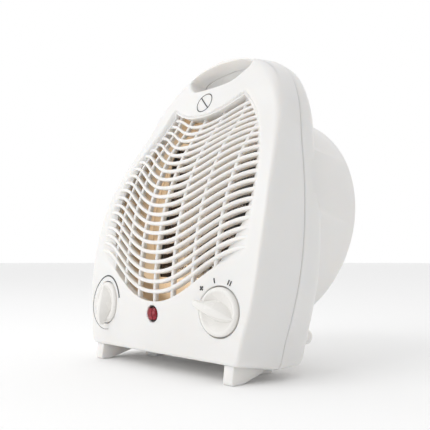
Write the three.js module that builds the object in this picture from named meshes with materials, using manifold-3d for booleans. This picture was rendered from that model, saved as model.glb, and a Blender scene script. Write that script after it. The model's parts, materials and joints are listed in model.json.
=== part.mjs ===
// Fan convector heater: an arch-shaped two-shell housing that leans back on its feet, with a
// louvred front, a round fan drum behind, two dials, a lamp, a heating element and a fan motor.
//
// Millimetres, +Z up, the front faces -Y, the floor is z = 0 and the origin is the middle of the
// base. Nearly everything is drawn in the housing's own frame (x across, y back along the moulding
// direction, z up the front), and that frame is tipped back by LEAN as one group.
import * as THREE from "three";
import { mergeVertices } from "three/addons/utils/BufferGeometryUtils.js";
import Module from "manifold-3d";

const wasm = await Module();
wasm.setup();

// ---------------------------------------------------------------- driving dimensions
const LEAN = THREE.MathUtils.degToRad(10); // backward tip of the housing on its feet
const FLOOR_DROP = 1.5; // the housing frame's origin stands this far above the floor
const DEPTH_SHIFT = 74.27; // brings the middle of the depth to y = 0
const WALL = 2.5; // moulded wall
const GAP = 0.4; // clearance between touching pieces

// Half outlines, x and z, from the bottom corner up to the top centre. Points pair up.
const FACE_EDGE = [
  [74, 12.5], [78, 16.5], [83.5, 31], [89, 50], [92.4, 76], [92.8, 108], [89, 142],
  [82, 173], [71.5, 201], [60, 222], [45, 236.5], [25, 245.5], [0, 249.5],
];
const SEAM_EDGE = [
  [83, 13], [87.5, 16], [89.5, 31], [92.5, 50], [94.6, 76], [93, 108], [87.8, 142],
  [80.8, 173], [73.8, 204], [63.5, 226.5], [50, 240.5], [27, 250.5], [0, 254],
];
const OUTLINE_CENTRE = [0, 125];
// Depth of the front face on its centre line, as z and y.
const FACE_PROFILE = [
  [-20, 20], [10, 8.8], [45, 0], [80, -4.4], [120, -3.2], [160, 6.8], [190, 18.6],
  [200, 21.3], [210, 23], [222, 26.2], [236, 31], [249, 35], [262, 37],
];
const FACE_CROWN = 0.00185; // the face falls back by this times x squared, less near the bottom
// The crown levels off towards the edges at these depths, as z and depth.
const CROWN_LIMIT = [
  [-20, 0.5], [16, 1], [31, 3.4], [50, 6.5], [76, 8.8], [108, 10.2], [142, 10.2],
  [173, 9.6], [201, 7.2], [222, 6.6], [236, 4.5], [250, 2.5], [262, 2],
];
const SEAM_AT_BASE = 41; // depth of the joint between the shells at z = 0
const SEAM_SLOPE = 0.045; // and its slope up the housing
const REAR_EDGE_Y = 60; // where the rear shell starts to round over
const REAR_FACE_Y = 70.5; // flat back of the rear shell around the drum
const REAR_BASE_RISE = 3.6; // the rear shell's underside lies parallel to the floor

// Louvred opening
const LOUVRES = 20;
const LOUVRE_PITCH = 7;
const OPENING_BASE = 48; // lowest point of the opening
const BROW_BASE = OPENING_BASE + LOUVRE_PITCH * (LOUVRES + 1);
const BROW_CURVE = 0.0113;
const OPENING_HALF = 81.7; // half width low down, which narrows by a power law above
const NARROWS_FROM = 92;
const NARROWING = 1.6e-4;
const NARROWING_POWER = 2.6;
const RIBS_EACH_SIDE = 3;
const LOUVRE_THICK = 2.4;
const LOUVRE_DEPTH = 5.9;
const RIB_PITCH = 18.9;
const RIB_THICK = 2.2;
const RIM = 6.2; // the hole itself ends this far inside the louvres' tips
const RIM_LOW = 17.5; // and this much more at its lower corners
const RIM_LOW_FROM = 119;
const RIM_LOW_SPAN = 43.4;

// Handle opening, half outline from the bottom centre to the top centre
const HANDLE_HOLE = [
  [0, 224.3], [16, 224.9], [27, 229], [33.6, 234.4], [34.6, 238.4], [31.5, 241.8],
  [20, 245.4], [0, 247.2],
];
const HOLE_CENTRE_Z = 236;
const HOLE_LENGTH = 90; // the cut runs past both shells

// Fan drum and what turns in it
const AXIS_Z = 129.5;
const DRUM_RADIUS = 90.7;
const DRUM_BACK = 110.3;
const DRUM_SIDES = 44;
const IMPELLER_RADIUS = 60;
const BLADES = 6;
const SHAFT_RADIUS = 2;

// Dials and lamp
const DIAL_X = 63.5;
const DIAL_Z = 44.8;
const DIAL_RADIUS = 15.9;
const RECESS_RADIUS = 16.8;
const RECESS_DEPTH = 4.5;
const RECESS_FLOOR = 2; // thickness behind the recess
const SELECTOR_REST = THREE.MathUtils.degToRad(75); // pointer to the left of upright
const THERMOSTAT_REST = THREE.MathUtils.degToRad(-168); // pointer down at the lowest setting
const DIAL_SHAFT_RADIUS = 3;
const DIAL_SHAFT_TOP = -RECESS_DEPTH + 0.2;
const DIAL_SHAFT_END = -11;
const LAMP_Z = 39.3;
const LAMP_RADIUS = 5.7;

// Screws that hold the shells together, as x and z
const SCREW_PLACES = [[-36, 27], [36, 27], [-50, 219], [50, 219]];
const BOSS_END = 55.4; // the front shell's screw posts end here
const BOSS_RADIUS = 4.2;
const PILOT_RADIUS = 1.9;
const SLEEVE_Y = BOSS_END + GAP; // the rear shell's screw sleeves start here
const SLEEVE_RADIUS = 6.4;
const HEAD_SEAT = SLEEVE_Y + 2.4;

// What the heater stands on: two front feet, two moulded pads and a rear foot under the drum.
// The weight of the motor lies behind the pads, so the rear foot keeps it from tipping back.
const FOOT_X = 72;
const FOOT_WIDTH = 8.6;
const PAD = { x: 56, half: 7, front: 50, back: 64 };
const REAR_FOOT = { half: 30, wall: 5, saddle: 3, front: 80, back: 106 };

// Air intake slots in the back of the drum, and the spine between them
const INTAKE_ROWS_EACH_WAY = 8;
const INTAKE_PITCH = 9;
const INTAKE_RADIUS = 79;
const INTAKE_HALF_HEIGHT = 2.3;

// Supply cord entry in the back wall, and what it meets inside
const GLAND_X = 77;
const GLAND_Z = 37;
const GLAND_RADIUS = 4.6;
const GLAND_BORE = 3.4;
const CORD_CLAMP = { x0: 46, x1: 62, y0: 58, y1: 62, z0: 20.2, z1: 26.2 };
const TERMINAL_BLOCK = { x0: -16, x1: 16, y0: 43, y1: 54, z0: 18.6, z1: 30 };

// Heating element: its window in the baffle, the frame behind it and the wires
const WINDOW = { x: 64, low: 72, high: 187 };
const SHEET = 1.4;
const BAFFLE_Y = 48.4;
const BAFFLE_LOW = 56;
const BAFFLE_HIGH = 206;
const HEATER_FRONT = 50.4;
const HEATER_BACK = 64.6;
const MICA_X = [-58, 0, 58];
const WIRE_ROWS = 9;
const WIRE_PITCH = 12;
const WIRE_RADIUS = 0.9;
const WIRE_REACH = 60.8;
const WIRE_FRONT_Y = 54;
const WIRE_BACK_Y = 61;

// Fan and motor, from front to back
const SHROUD_Y = 66;
const SHROUD_RADIUS = 84;
const FAN_Y = 69;
const FAN_DEPTH = 11;
const HUB_RADIUS = 14;
const STACK_FRONT = 87;
const STACK_BACK = 97;
const ROTOR_RADIUS = 10;
const STRAP_BACK = 98.9;
const BRACKET_Y = 101.5;
const BRACKET_SCREWS_Z = [AXIS_Z - 74, AXIS_Z + 74];

// ---------------------------------------------------------------- materials
const plastic = (color, roughness = 0.4) =>
  new THREE.MeshStandardMaterial({ color, roughness, metalness: 0 });
const metal = (color, roughness = 0.45) =>
  new THREE.MeshStandardMaterial({ color, roughness, metalness: 1 });
const WHITE = plastic(0xf6f6f4);
const KNOB_WHITE = plastic(0xf3efe8);
const CREAM = plastic(0xe2cfae, 0.6);
const MICA = plastic(0xb08a58, 0.7);
const BLACK = plastic(0x191614, 0.5);
const RED_LENS = plastic(0xa80f16, 0.15);
const GREY = plastic(0x6b6b6b, 0.5);
const STEEL = metal(0xa8a9a8);
const NICHROME = metal(0x8a7f74, 0.5);
const COPPER = metal(0xb86f3c, 0.35);
const LAMINATION = metal(0x6e7072, 0.55);

// ---------------------------------------------------------------- solids
// A geometry as a solid, whichever way its faces were wound.
function solid(geometry) {
  const bare = geometry.clone();
  for (const name of Object.keys(bare.attributes)) {
    if (name !== "position") bare.deleteAttribute(name);
  }
  const merged = mergeVertices(bare, 1e-4);
  const triVerts = new Uint32Array(merged.index.array);
  const vertProperties = merged.attributes.position.array;
  if (signedVolume(vertProperties, triVerts) < 0) {
    for (let i = 0; i < triVerts.length; i += 3) {
      [triVerts[i + 1], triVerts[i + 2]] = [triVerts[i + 2], triVerts[i + 1]];
    }
  }
  return new wasm.Manifold(new wasm.Mesh({ numProp: 3, vertProperties, triVerts }));
}

function signedVolume(positions, triangles) {
  const [a, b, c] = [new THREE.Vector3(), new THREE.Vector3(), new THREE.Vector3()];
  let sum = 0;
  for (let i = 0; i < triangles.length; i += 3) {
    a.fromArray(positions, 3 * triangles[i]);
    b.fromArray(positions, 3 * triangles[i + 1]);
    c.fromArray(positions, 3 * triangles[i + 2]);
    sum += a.dot(b.cross(c));
  }
  return sum;
}

function asGeometry(manifold) {
  const mesh = manifold.getMesh();
  const positions = new Float32Array(mesh.numVert * 3);
  for (let i = 0; i < mesh.numVert; i++) {
    const start = i * mesh.numProp;
    positions.set(mesh.vertProperties.subarray(start, start + 3), i * 3);
  }
  const geometry = new THREE.BufferGeometry();
  geometry.setAttribute("position", new THREE.BufferAttribute(positions, 3));
  geometry.setIndex(new THREE.BufferAttribute(new Uint32Array(mesh.triVerts), 1));
  geometry.computeVertexNormals();
  return geometry;
}

// Rings of equal length joined in order and capped by a fan at both ends.
function loft(rings) {
  const count = rings[0].length;
  const positions = [];
  const index = [];
  for (const ring of rings) for (const p of ring) positions.push(...p);
  for (let r = 0; r + 1 < rings.length; r++) {
    for (let i = 0; i < count; i++) {
      const a = r * count + i;
      const b = r * count + ((i + 1) % count);
      index.push(a, b, b + count, a, b + count, a + count);
    }
  }
  for (const [r, flip] of [[0, true], [rings.length - 1, false]]) {
    const centre = positions.length / 3;
    const sum = [0, 0, 0];
    for (const p of rings[r]) for (let k = 0; k < 3; k++) sum[k] += p[k] / count;
    positions.push(...sum);
    for (let i = 0; i < count; i++) {
      const a = r * count + i;
      const b = r * count + ((i + 1) % count);
      if (flip) index.push(centre, b, a);
      else index.push(centre, a, b);
    }
  }
  const geometry = new THREE.BufferGeometry();
  geometry.setAttribute("position", new THREE.Float32BufferAttribute(positions, 3));
  geometry.setIndex(index);
  return solid(geometry);
}

function box(x0, x1, y0, y1, z0, z1) {
  const geometry = new THREE.BoxGeometry(x1 - x0, y1 - y0, z1 - z0);
  geometry.translate((x0 + x1) / 2, (y0 + y1) / 2, (z0 + z1) / 2);
  return solid(geometry);
}

// A round bar along y.
function bar(radius, y0, y1, x = 0, z = 0, sides = 24) {
  const geometry = new THREE.CylinderGeometry(radius, radius, y1 - y0, sides);
  geometry.translate(x, (y0 + y1) / 2, z);
  return solid(geometry);
}

const tube = (outer, inner, y0, y1, x = 0, z = 0, sides = 24) =>
  bar(outer, y0, y1, x, z, sides).subtract(bar(inner, y0 - 1, y1 + 1, x, z, sides));

// An outline of [x, z] points extruded along y.
function prism(points, y0, y1) {
  const shape = new THREE.Shape(points.map(([x, z]) => new THREE.Vector2(x, z)));
  const geometry = new THREE.ExtrudeGeometry(shape, { depth: y1 - y0, bevelEnabled: false });
  geometry.rotateX(Math.PI / 2);
  geometry.translate(0, y1, 0);
  return solid(geometry);
}

function moved(geometry, matrix) {
  return solid(geometry.clone().applyMatrix4(matrix));
}

function node(name, shape, material) {
  const mesh = new THREE.Mesh(shape.isBufferGeometry ? shape : asGeometry(shape), material);
  mesh.name = name;
  return mesh;
}

// ---------------------------------------------------------------- housing surfaces
// Smooth curve through [z, value] pairs as a table, and the value in such a table at z.
function curveTable(pairs) {
  const points = pairs.map(([z, value]) => new THREE.Vector3(0, value, z));
  return new THREE.CatmullRomCurve3(points, false, "centripetal").getPoints(120);
}

function valueAt(table, z) {
  let i = 1;
  while (i < table.length - 1 && table[i].z < z) i++;
  const [a, b] = [table[i - 1], table[i]];
  return THREE.MathUtils.mapLinear(z, a.z, b.z, a.y, b.y);
}

const profileTable = curveTable(FACE_PROFILE);
const limitTable = curveTable(CROWN_LIMIT);

// Depth of the front face at x, z.
function faceY(x, z) {
  const crown = FACE_CROWN * (1 - Math.exp(-Math.max(0, z) / 55)) * x * x;
  const level = (1 + (crown / valueAt(limitTable, z)) ** 6) ** (1 / 6);
  return valueAt(profileTable, z) + crown / level;
}

const seamY = (z) => SEAM_AT_BASE + SEAM_SLOPE * z;

// Height of the floor in the housing's frame.
const floorZ = (y) => y * Math.tan(LEAN) - FLOOR_DROP / Math.cos(LEAN);

// A whole outline as [x, z] points, from the bottom centre round the right side and back.
function outline(halfPoints, sideSteps = 16, baseSteps = 2) {
  const curve = new THREE.SplineCurve(halfPoints.map(([x, z]) => new THREE.Vector2(x, z)));
  const half = [];
  for (let i = 0; i < baseSteps; i++) {
    half.push([(halfPoints[0][0] * i) / baseSteps, halfPoints[0][1]]);
  }
  for (const p of curve.getPoints(sideSteps)) half.push([p.x, p.y]);
  const mirrored = half.slice(1, -1).reverse().map(([x, z]) => [-x, z]);
  return [...half, ...mirrored];
}

// Moves an outline towards its centre by a distance.
function inset(points, distance) {
  const [cx, cz] = OUTLINE_CENTRE;
  return points.map(([x, z]) => {
    const k = 1 - distance / Math.hypot(x - cx, z - cz);
    return [cx + (x - cx) * k, cz + (z - cz) * k];
  });
}

const scaled = (points, k) =>
  points.map(([x, z]) => [
    OUTLINE_CENTRE[0] + (x - OUTLINE_CENTRE[0]) * k,
    OUTLINE_CENTRE[1] + (z - OUTLINE_CENTRE[1]) * k,
  ]);

const ringAt = (points, depth) => points.map(([x, z]) => [x, depth(x, z), z]);

const faceOutline = outline(FACE_EDGE);
const handleHole = outline(HANDLE_HOLE, 16, 0);
const seamOutline = outline(SEAM_EDGE);

// The filled shape of the front shell, or of its hollow when thick is the wall.
function frontSolid(thick) {
  const edge = inset(faceOutline, thick);
  const seam = inset(seamOutline, thick);
  const back = thick > 0 ? 6 : -GAP / 2;
  const rings = [ringAt(seam, (x, z) => seamY(z) + back)];
  if (thick > 0) rings.push(ringAt(seam, (x, z) => seamY(z)));
  rings.push(ringAt(edge, (x, z) => faceY(x, z) + thick + 2.6));
  rings.push(ringAt(scaled(edge, 0.986), (x, z) => faceY(x, z) + thick + 0.7));
  for (const k of thick > 0 ? [0.94, 0.6, 0.25] : [0.955, 0.72, 0.45, 0.2]) {
    rings.push(ringAt(scaled(edge, k), (x, z) => faceY(x, z) + thick));
  }
  return loft(rings);
}

// The rear shell's underside rises towards the back, so that it lies level over the floor.
function raised(points) {
  const base = SEAM_EDGE[0][1];
  const top = SEAM_EDGE[SEAM_EDGE.length - 1][1];
  return points.map(([x, z]) => [x, z + (REAR_BASE_RISE * (top - z)) / (top - base)]);
}

function rearSolid(thick) {
  const seam = inset(seamOutline, thick);
  const edge = inset(raised(seamOutline), thick);
  const front = thick > 0 ? -6 : GAP / 2;
  const back = REAR_FACE_Y - thick;
  const rings = [
    ringAt(seam, (x, z) => seamY(z) + front),
    ringAt(edge, () => REAR_EDGE_Y),
    ringAt(scaled(edge, 0.985), () => REAR_EDGE_Y + (back - REAR_EDGE_Y) * 0.5),
    ringAt(scaled(edge, 0.95), () => REAR_EDGE_Y + (back - REAR_EDGE_Y) * 0.86),
    ringAt(scaled(edge, 0.9), () => back),
  ];
  const circle = (radius, y) => {
    const ring = [];
    for (let i = 0; i < DRUM_SIDES; i++) {
      const a = (2 * Math.PI * i) / DRUM_SIDES;
      ring.push([radius * Math.sin(a), y, AXIS_Z + radius * Math.cos(a)]);
    }
    return ring;
  };
  const radius = DRUM_RADIUS - thick;
  const drum = loft([
    circle(radius - 3, REAR_EDGE_Y - 6),
    circle(radius, REAR_EDGE_Y + 4),
    circle(radius, DRUM_BACK - thick - 3),
    circle(radius - 0.9, DRUM_BACK - thick - 0.9),
    circle(radius - 3, DRUM_BACK - thick),
  ]);
  return loft(rings).add(drum);
}

// ---------------------------------------------------------------- louvred opening
// Half width of the opening at a height, and the rise of a louvre's tips over its middle.
const openHalf = (z) =>
  OPENING_HALF - NARROWING * Math.max(0, z - NARROWS_FROM) ** NARROWING_POWER;
const tipRise = (base) =>
  base < 100 ? 29 + 0.06 * (100 - base) : 29 - 0.0017 * (base - 100) ** 2;

// Height at x of the wavy louvre whose middle is at base.
function waveZ(x, base) {
  const rise = tipRise(base);
  const phase = Math.min(1, Math.abs(x) / openHalf(base + rise));
  return base + rise * ((1 - Math.cos(Math.PI * phase)) / 2) ** 1.15;
}

// Half width of the hole itself: its rim covers the louvres' tips.
const holeHalf = (z) =>
  openHalf(z) - RIM - RIM_LOW * (Math.max(0, RIM_LOW_FROM - z) / RIM_LOW_SPAN) ** 2;

const browZ = (x) => BROW_BASE + BROW_CURVE * x * x;

// Where a falling function crosses zero, by halving.
function meeting(fallen, low, high) {
  let [a, b] = [low, high];
  for (let i = 0; i < 40; i++) {
    const middle = (a + b) / 2;
    if (fallen(middle) > 0) a = middle;
    else b = middle;
  }
  return a;
}

const cornerX = meeting((x) => holeHalf(waveZ(x, OPENING_BASE)) - x, 30, 80);
const browX = meeting((x) => holeHalf(browZ(x)) - x, 10, 60);

function openingOutline() {
  const half = [];
  for (let i = 0; i < 10; i++) {
    const x = (cornerX * i) / 10;
    half.push([x, waveZ(x, OPENING_BASE)]);
  }
  const cornerZ = waveZ(cornerX, OPENING_BASE);
  for (let i = 0; i <= 12; i++) {
    const z = cornerZ + ((browZ(browX) - cornerZ) * i) / 12;
    half.push([holeHalf(z), z]);
  }
  for (let i = 4; i >= 0; i--) half.push([(browX * i) / 5, browZ((browX * i) / 5)]);
  const mirrored = half.slice(1, -1).reverse().map(([x, z]) => [-x, z]);
  return [...half, ...mirrored];
}

function louvre(number) {
  const base = OPENING_BASE + LOUVRE_PITCH * number;
  const reach = openHalf(base + tipRise(base)) + 1.5;
  const steps = 8;
  const rings = [];
  for (let i = 0; i <= steps; i++) {
    const x = reach * ((2 * i) / steps - 1);
    const z = waveZ(x, base);
    const front = faceY(x, z) + 0.25;
    const half = LOUVRE_THICK / 2;
    rings.push([
      [x, front, z - half],
      [x, front, z + half],
      [x, front + LOUVRE_DEPTH, z + half],
      [x, front + LOUVRE_DEPTH, z - half + 0.6],
    ]);
  }
  return loft(rings);
}

// Highest point of the opening at x.
function openingTop(x) {
  const width = Math.abs(x);
  return width <= browX ? browZ(x) : meeting((z) => holeHalf(z) - width, RIM_LOW_FROM, 230);
}

function rib(number) {
  const x = number * RIB_PITCH;
  const low = waveZ(x, OPENING_BASE) - 2;
  const high = openingTop(x) + 2;
  const steps = 3;
  const rings = [];
  for (let i = 0; i <= steps; i++) {
    const z = low + ((high - low) * i) / steps;
    const front = faceY(x, z) + 1.4;
    rings.push([
      [x - RIB_THICK / 2, front, z],
      [x + RIB_THICK / 2, front, z],
      [x + RIB_THICK / 2, front + LOUVRE_DEPTH - 1.6, z],
      [x - RIB_THICK / 2, front + LOUVRE_DEPTH - 1.6, z],
    ]);
  }
  return loft(rings);
}

// ---------------------------------------------------------------- dials on the sloping panel
// Places local +z along the panel's outward normal at x, z, with local +y up the panel.
function panelMatrix(x, z) {
  const step = 4;
  const slopeX = (faceY(x + step, z) - faceY(x - step, z)) / (2 * step);
  const slopeZ = (faceY(x, z + step) - faceY(x, z - step)) / (2 * step);
  const out = new THREE.Vector3(slopeX, -1, slopeZ).normalize();
  const across = new THREE.Vector3(0, 0, 1).cross(out).normalize();
  const up = out.clone().cross(across);
  return new THREE.Matrix4()
    .makeBasis(across, up, out)
    .setPosition(x, faceY(x, z), z);
}

const selectorPlace = panelMatrix(DIAL_X, DIAL_Z);
const thermostatPlace = panelMatrix(-DIAL_X, DIAL_Z);
const lampPlace = panelMatrix(0, LAMP_Z);

// A round bar along local z.
function post(radius, z0, z1, sides = 32) {
  const geometry = new THREE.CylinderGeometry(radius, radius, z1 - z0, sides);
  geometry.rotateX(Math.PI / 2);
  geometry.translate(0, 0, (z0 + z1) / 2);
  return geometry;
}

// Dial with a dished disc and a leaf-shaped grip that rises to its pointer, at local +y.
function dialKnob(restAngle) {
  const floor = -RECESS_DEPTH + 0.6;
  const disc = new THREE.LatheGeometry(
    [
      [0, floor], [DIAL_RADIUS - 0.5, floor], [DIAL_RADIUS, -0.8], [DIAL_RADIUS - 0.9, 1.8],
      [DIAL_RADIUS - 2, 2.6], [DIAL_RADIUS - 5, 1], [6, 0.1], [0, 0.1],
    ].map(([r, z]) => new THREE.Vector2(r, z)),
    36,
  );
  disc.rotateX(Math.PI / 2);
  // Stations along the grip: distance towards the pointer, half width of the crest and of the
  // foot, and height.
  const stations = [
    [-13.6, 0.7, 1.3, 2.6], [-8, 1.6, 3.8, 4.6], [-3, 2, 5.6, 6], [3, 2.3, 6.4, 7.3],
    [8, 2.3, 5.4, 8.2], [12, 2.1, 3.6, 8.5], [15, 1.9, 2.3, 8.2], [17.4, 0.8, 0.9, 6.4],
  ];
  const foot = (y) => (y > DIAL_RADIUS - 2 ? 3.4 : -1);
  const grip = loft(stations.map(([y, crest, spread, height]) => {
    const middle = (foot(y) + height) / 2;
    const waist = crest + (spread - crest) * 0.3;
    return [
      [-spread, y, foot(y)], [spread, y, foot(y)], [waist, y, middle],
      [crest, y, height - 1], [crest * 0.5, y, height], [-crest * 0.5, y, height],
      [-crest, y, height - 1], [-waist, y, middle],
    ];
  }));
  const shape = asGeometry(solid(disc).add(grip));
  shape.rotateZ(restAngle);
  return shape;
}

const dialShaft = () => post(DIAL_SHAFT_RADIUS, DIAL_SHAFT_END, DIAL_SHAFT_TOP, 20);

// ---------------------------------------------------------------- front shell
function frontShell() {
  const filled = frontSolid(0);
  let shell = filled.subtract(frontSolid(WALL));
  const collar = prism(handleHole.map(grow(WALL)), 0, HOLE_LENGTH);
  shell = shell.add(collar.intersect(filled));
  for (const place of [selectorPlace, thermostatPlace]) {
    const cup = moved(post(RECESS_RADIUS + 1.8, -RECESS_DEPTH - RECESS_FLOOR, -0.8), place);
    const recess = moved(post(RECESS_RADIUS, -RECESS_DEPTH, 9), place);
    const shaftHole = moved(post(DIAL_SHAFT_RADIUS + 1, DIAL_SHAFT_END - 1, 0, 20), place);
    shell = shell.add(cup).subtract(recess).subtract(shaftHole);
  }
  shell = shell.subtract(moved(post(LAMP_RADIUS + 0.4, -8, 8, 24), lampPlace));
  for (const [x, z] of SCREW_PLACES) {
    shell = shell.add(bar(BOSS_RADIUS, faceY(x, z) + 1, BOSS_END, x, z, 16));
    shell = shell.subtract(bar(PILOT_RADIUS, BOSS_END - 16, BOSS_END + 1, x, z, 12));
  }
  shell = shell.subtract(prism(openingOutline(), -40, 46));
  for (let i = 1; i <= LOUVRES; i++) shell = shell.add(louvre(i));
  for (let k = -RIBS_EACH_SIDE; k <= RIBS_EACH_SIDE; k++) shell = shell.add(rib(k));
  return shell.subtract(prism(handleHole, 0, HOLE_LENGTH));
}

// Grows the handle opening's outline about its own centre.
function grow(distance) {
  return ([x, z]) => {
    const k = 1 + distance / Math.hypot(x, z - HOLE_CENTRE_Z);
    return [x * k, HOLE_CENTRE_Z + (z - HOLE_CENTRE_Z) * k];
  };
}

// ---------------------------------------------------------------- rear shell
function rearShell() {
  let shell = rearSolid(0).subtract(rearSolid(WALL));
  const collar = prism(handleHole.map(grow(WALL)), 0, HOLE_LENGTH);
  shell = shell.add(collar.intersect(rearSolid(0)));
  for (const [x, z] of SCREW_PLACES) {
    shell = shell.add(bar(SLEEVE_RADIUS, SLEEVE_Y, REAR_FACE_Y - 1, x, z, 20));
    shell = shell.subtract(bar(BOSS_RADIUS, HEAD_SEAT, REAR_FACE_Y + 4, x, z, 16));
    shell = shell.subtract(bar(PILOT_RADIUS + 0.1, SLEEVE_Y - 2, HEAD_SEAT + 1, x, z, 12));
  }
  shell = shell.subtract(prism(handleHole, 0, HOLE_LENGTH));
  for (const x of [-PAD.x, PAD.x]) shell = shell.add(rearPad(x));
  for (let row = -INTAKE_ROWS_EACH_WAY; row <= INTAKE_ROWS_EACH_WAY; row++) {
    const z = AXIS_Z + row * INTAKE_PITCH;
    const reach = Math.sqrt(INTAKE_RADIUS ** 2 - (row * INTAKE_PITCH) ** 2);
    for (const [x0, x1] of intakeSpans(reach, row)) {
      const [low, high] = [z - INTAKE_HALF_HEIGHT, z + INTAKE_HALF_HEIGHT];
      shell = shell.subtract(box(x0, x1, DRUM_BACK - 6, DRUM_BACK + 2, low, high));
    }
  }
  for (const z of BRACKET_SCREWS_Z) {
    shell = shell.add(bar(5, BRACKET_Y + 1.5 + GAP, DRUM_BACK - 1, 0, z, 20));
    shell = shell.subtract(bar(PILOT_RADIUS, BRACKET_Y, DRUM_BACK - 1, 0, z, 12));
  }
  const cable = bar(GLAND_RADIUS + 0.4, REAR_FACE_Y - 8, REAR_FACE_Y + 4, GLAND_X, GLAND_Z, 20);
  return shell.subtract(cable);
}

// Slot ends left and right of the spine, which widens to a disc behind the motor.
function intakeSpans(reach, row) {
  const spine = Math.abs(row) <= 2 ? 17 : 8;
  return [[-reach, -spine], [spine, reach]];
}

// A pad under the rear shell whose sole lies on the floor.
function rearPad(x) {
  const ring = (side) => [
    [side, PAD.front, floorZ(PAD.front)], [side, PAD.back, floorZ(PAD.back)],
    [side, PAD.back, 19], [side, PAD.front, 17],
  ];
  return loft([ring(x - PAD.half), ring(x + PAD.half)]);
}

// ---------------------------------------------------------------- feet
// A wedge that is flat on the floor and dies into the underside towards the back.
function foot(side) {
  const top = (y) => FACE_EDGE[0][1] - GAP + 0.016 * (y - 10);
  const ring = (x) => [
    [x, 10.8, floorZ(10.8) + 1.6], [x, 12, floorZ(12)], [x, 20, floorZ(20)],
    [x, 40, top(40) - 1.5], [x, 40, top(40)], [x, 10.4, top(10.4)],
  ];
  const centre = side * FOOT_X;
  return loft([ring(centre - FOOT_WIDTH / 2), ring(centre + FOOT_WIDTH / 2)]);
}

// Open frame under the drum: a flat sole, three upright walls and a saddle that follows the drum.
function rearFoot() {
  const { half, wall, saddle, front, back } = REAR_FOOT;
  const top = AXIS_Z - DRUM_RADIUS + 8;
  const block = (reach, y0, y1, lift) => {
    const ring = (x) => [
      [x, y0, floorZ(y0) + lift], [x, y1, floorZ(y1) + lift], [x, y1, top], [x, y0, top],
    ];
    return loft([ring(-reach), ring(reach)]);
  };
  const drum = (radius) => bar(radius, front - 4, back + 4, 0, AXIS_Z, 64);
  const window = block(half - wall, front - 2, back + 2, wall)
    .subtract(drum(DRUM_RADIUS + GAP + saddle))
    .subtract(box(-wall / 2, wall / 2, front - 4, back + 4, 0, top));
  return block(half, front, back, 0).subtract(drum(DRUM_RADIUS + GAP)).subtract(window);
}

// ---------------------------------------------------------------- inside
// Plate behind the louvres that leads all the air through the heater window.
function airBaffle() {
  const edge = inset(seamOutline, WALL + 2.2);
  const clipped = edge.map(([x, z]) => [x, THREE.MathUtils.clamp(z, BAFFLE_LOW, BAFFLE_HIGH)]);
  const plate = prism(withoutRepeats(clipped), BAFFLE_Y, BAFFLE_Y + 1.6);
  return plate.subtract(box(-WINDOW.x, WINDOW.x, 40, 60, WINDOW.low, WINDOW.high));
}

function withoutRepeats(points) {
  return points.filter(([x, z], i) => {
    const [px, pz] = points[(i + points.length - 1) % points.length];
    const [nx, nz] = points[(i + 1) % points.length];
    const turn = (x - px) * (nz - z) - (z - pz) * (nx - x);
    return Math.abs(turn) > 1e-6;
  });
}

// Folded sheet box that carries the element.
function heaterFrame() {
  const { x, low, high } = WINDOW;
  const outer = box(-x - SHEET, x + SHEET, HEATER_FRONT, HEATER_BACK, low - SHEET, high + SHEET);
  return outer.subtract(box(-x, x, HEATER_FRONT - 2, HEATER_BACK + 2, low, high));
}

const wireZ = (row) => (WINDOW.low + WINDOW.high) / 2 + (row - (WIRE_ROWS - 1) / 2) * WIRE_PITCH;

// Upright mica strip with a clear hole for each pass of the wires.
function micaStrip(x) {
  let strip = box(x - 0.6, x + 0.6, HEATER_FRONT + 0.4, HEATER_BACK - 0.4,
    WINDOW.low + GAP, WINDOW.high - GAP);
  for (let row = 0; row < WIRE_ROWS; row++) {
    for (const y of [WIRE_FRONT_Y, WIRE_BACK_Y]) {
      const z = wireZ(row);
      strip = strip.subtract(box(x - 2, x + 2, y - 1.4, y + 1.4, z - 1.4, z + 1.4));
    }
  }
  return strip;
}

// One resistance wire laid to and fro through the strips.
function heatingWire(y) {
  const path = new THREE.CurvePath();
  let at = new THREE.Vector3(-WIRE_REACH, y, wireZ(0));
  const go = (x, z) => {
    const next = new THREE.Vector3(x, y, z);
    path.add(new THREE.LineCurve3(at, next));
    at = next;
  };
  for (let row = 0; row < WIRE_ROWS; row++) {
    const end = row % 2 === 0 ? WIRE_REACH : -WIRE_REACH;
    go(end, wireZ(row));
    if (row < WIRE_ROWS - 1) go(end, wireZ(row + 1));
  }
  let wire = null;
  for (const { v1, v2 } of path.curves) {
    const run = v1.distanceTo(v2) + 2 * WIRE_RADIUS;
    const across = Math.abs(v2.x - v1.x) > 1;
    const size = across ? [run, 2 * WIRE_RADIUS] : [2 * WIRE_RADIUS, run];
    const piece = new THREE.BoxGeometry(size[0], 2 * WIRE_RADIUS, size[1]);
    piece.translate((v1.x + v2.x) / 2, y, (v1.z + v2.z) / 2);
    wire = wire ? wire.add(solid(piece)) : solid(piece);
  }
  return wire;
}

// Ring plate round the fan, with a short inlet collar.
function fanShroud() {
  const plate = tube(SHROUD_RADIUS, IMPELLER_RADIUS + 2.5, SHROUD_Y, SHROUD_Y + 1.6, 0, AXIS_Z, 48);
  return plate.add(tube(IMPELLER_RADIUS + 4, IMPELLER_RADIUS + 2.5, SHROUD_Y, SHROUD_Y + 15,
    0, AXIS_Z, 48));
}

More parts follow.
